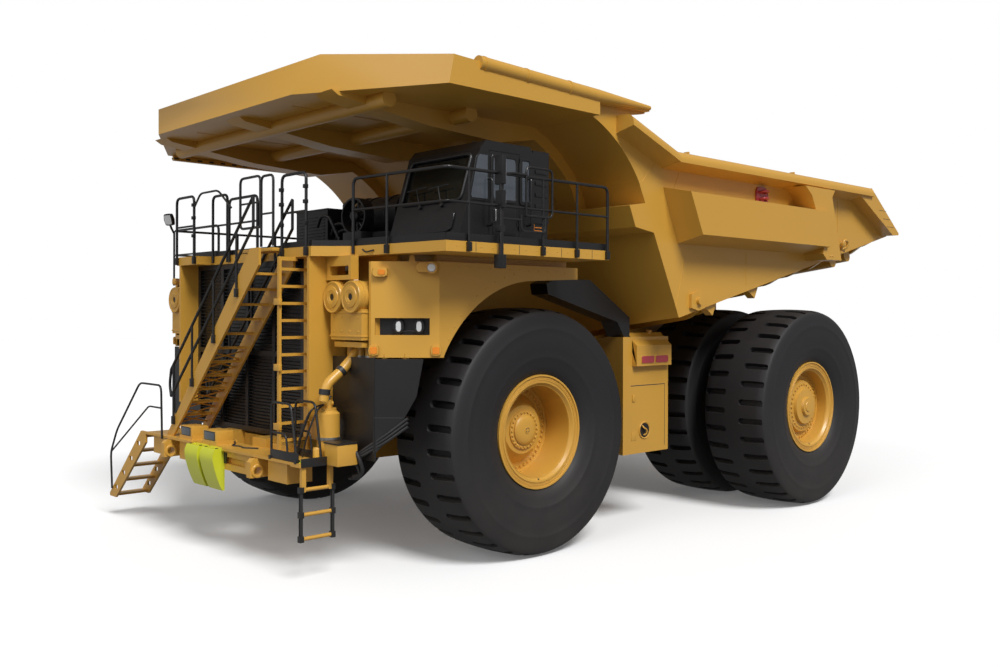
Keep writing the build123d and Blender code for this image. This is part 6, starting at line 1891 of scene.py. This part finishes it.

# %% [markdown]
# A door's seam, a latch, a filler recess and two reflectors tell the size of the tank. They are thin plates just
# proud of its skin. The recess is a ring round a flat black disc that paints the shade inside it.

# %% Tank fittings
side = [block("hood_rail", (-0.25, 3.445, 3.33), (0.77, 3.460, 3.35), OCHRE, 0.003)]
for low_x in (-0.13, 0.29):
    place = Vector((low_x + 0.17, 3.5605, 3.08))
    side += [
        plate("reflector_frame", oval(0.39, 0.155, 24, 9), place + Vector((0, -0.003, 0)), LEFT, 0.010, OCHRE, 0.002),
        plate("reflector", oval(0.365, 0.13, 24, 9), place, LEFT, 0.014, "red reflector", 0.003)]
side += [
    scatter("hood_bolts", STUD, row_places((-0.18, 3.5605, 3.20), (0.70, 3.5605, 3.20), 6, LEFT)
        + row_places((-0.18, 3.5605, 3.29), (0.70, 3.5605, 3.29), 6, LEFT), OCHRE, 0.026),
    block("door_seam", (-0.20, 3.4485, 2.585), (0.82, 3.4515, 2.60), TRIM, 0.001),
    block("door_seam", (-0.20, 3.4485, 1.42), (-0.188, 3.4515, 2.59), TRIM, 0.001),
    turned("recess_ring", [(0.135, -0.01), (0.165, -0.01), (0.165, 0.012), (0.155, 0.02), (0.135, 0.012)],
        (0.42, 3.450, 1.75), LEFT, OCHRE, 48),
    # the black disc paints the shade at the back of the filler recess
    turned("recess_back", [(0, 0.0015), (0.137, 0.0015), (0.137, 0.004), (0, 0.004)], (0.42, 3.450, 1.75), LEFT,
        BLACK, 48),
    tube("recess_hose", [(0.48, 3.450, 1.84), (0.48, 3.49, 1.80), (0.40, 3.50, 1.76), (0.40, 3.49, 1.68),
        (0.44, 3.45, 1.66)], 0.016, OCHRE, 0.05),
    block("door_latch", (0.70, 3.447, 2.30), (0.78, 3.468, 2.42), OCHRE, 0.006),
    block("gauge_plate", (0.66, 3.447, 1.58), (0.80, 3.456, 1.74), OCHRE, 0.004),
    turned("breather", [(0, -0.02), (0.035, -0.02), (0.035, 0.02), (0.06, 0.03), (0.06, 0.055), (0.04, 0.065),
        (0, 0.065)], (0.10, 3.30, 3.56), UP, OCHRE, 24)]
as_piece("tank_fittings", side + flipped(side), "chassis")

# %% [markdown]
# Rings, weld lines and notches break up the bed's large plates. Each notch is a thin dark plate that paints the
# shade inside it. The same meshes are mirrored for the other side.

# %% Bed fittings
OUTER = SIDE_OUT / 1000
bed = []
ring_x, ring_z = -2.13, 6.27
bed.append(plate("ring_plate", oval(0.42, 0.36, 32, 4), (ring_x, OUTER, ring_z), LEFT, 0.03, "red reflector", 0.006))
for z in (6.34, 6.20):
    bed.append(tube("ring_loop", [(ring_x - 0.09, OUTER + 0.02, z), (ring_x - 0.09, OUTER + 0.13, z + 0.02),
        (ring_x + 0.09, OUTER + 0.13, z + 0.02), (ring_x + 0.09, OUTER + 0.02, z)], 0.026, "red reflector", 0.07,
        12))
for start, end in (((1.10, 6.72), (1.62, 6.20)), ((0.55, 6.50), (0.72, 6.16)), ((-5.2, 6.42), (-5.2, 5.30)),
        ((0.40, 4.95), (0.62, 4.08)), ((1.2, 6.78), (2.2, 7.17)), ((-1.6, 5.1), (-1.6, 4.5))):
    a, b = Vector((start[0], OUTER + 0.001, start[1])), Vector((end[0], OUTER + 0.001, end[1]))
    bed.append(tube("weld_line", [a, b], 0.007, OCHRE, 0.01, 6))
# each notch is a thin dark plate that paints the shade inside it
for x in (0.55, -3.05):
    bed += [
        block("rail_notch", (x - 0.05, OUTER + 0.02, 6.772), (x + 0.05, OUTER + 0.20, 6.786), TRIM, 0.003),
        block("rail_lug", (x - 0.09, OUTER + 0.05, 6.775), (x - 0.055, OUTER + 0.16, 6.84), OCHRE, 0.008)]
dx, dz = -5.35, 5.47
bed += [
    tube("tail_ring", [(dx - 0.02, OUTER + 0.02, dz - 0.1), (dx - 0.10, OUTER + 0.10, dz - 0.06),
        (dx - 0.10, OUTER + 0.12, dz + 0.08), (dx + 0.08, OUTER + 0.12, dz + 0.10),
        (dx + 0.12, OUTER + 0.10, dz - 0.05), (dx + 0.02, OUTER + 0.02, dz - 0.1)], 0.03, OCHRE, 0.08, 12),
    plate("tail_ring_pad", oval(0.30, 0.22, 24, 4), (dx, OUTER, dz - 0.08), LEFT, 0.025, OCHRE, 0.006)]
for z in (5.95, 6.12, 6.30):
    bed.append(block("tail_line", (-6.9 + (6.3 - z) * -1.1, OUTER + 0.298, z - 0.004),
        (-6.55 + (6.3 - z) * -1.1, OUTER + 0.303, z + 0.004), TRIM, 0.001))
bed.append(scatter("upright_bolts", STUD, row_places((-4.15, OUTER + 0.4605, 5.15), (-4.05, OUTER + 0.4605, 5.15), 2,
    LEFT), OCHRE, 0.05))
as_piece("bed_fittings", bed + flipped(bed), "bed")

# %% [markdown]
# Seams and bands mark where the canopy's plates and its rim tube are joined. The far rail's slots are thin dark
# plates that paint the shade inside them.

# %% Canopy fittings
top = []
for y in (-1.6, 1.6):
    top.append(tube("plate_seam", [(3.0, y, 7.159), (6.85, y, 7.159)], 0.006, OCHRE, 0.01, 6))
y = 4.448
for x in (5.40, 4.55, 3.60):
    z = 7.47 + (x - 2.89) * 0.03
    top.append(turned("rim_band", [(0.109, -0.02), (0.118, -0.02), (0.118, 0.02), (0.109, 0.02)], (x, y, z), AHEAD,
        OCHRE, 32))
top.append(block("far_rail", (2.85, -4.47, 7.06), (6.0, -4.38, 7.159), OCHRE, 0.008))
# each slot is a thin dark plate that paints the shade inside it
for k in range(12):
    x = 3.05 + 0.26 * k
    top += [
        block("far_rail_slot", (x, -4.4745, 7.085), (x + 0.10, -4.4685, 7.12), TRIM, 0.001),
        block("far_rail_slot", (x, -4.3815, 7.085), (x + 0.10, -4.3755, 7.12), TRIM, 0.001)]
as_piece("canopy_fittings", top, "bed")

# %% [markdown]
# The two source parts of the scatter tree are not part of the truck, so they go.

# %% Finish
for source in (BOLT, STUD):
    bpy.data.objects.remove(source)
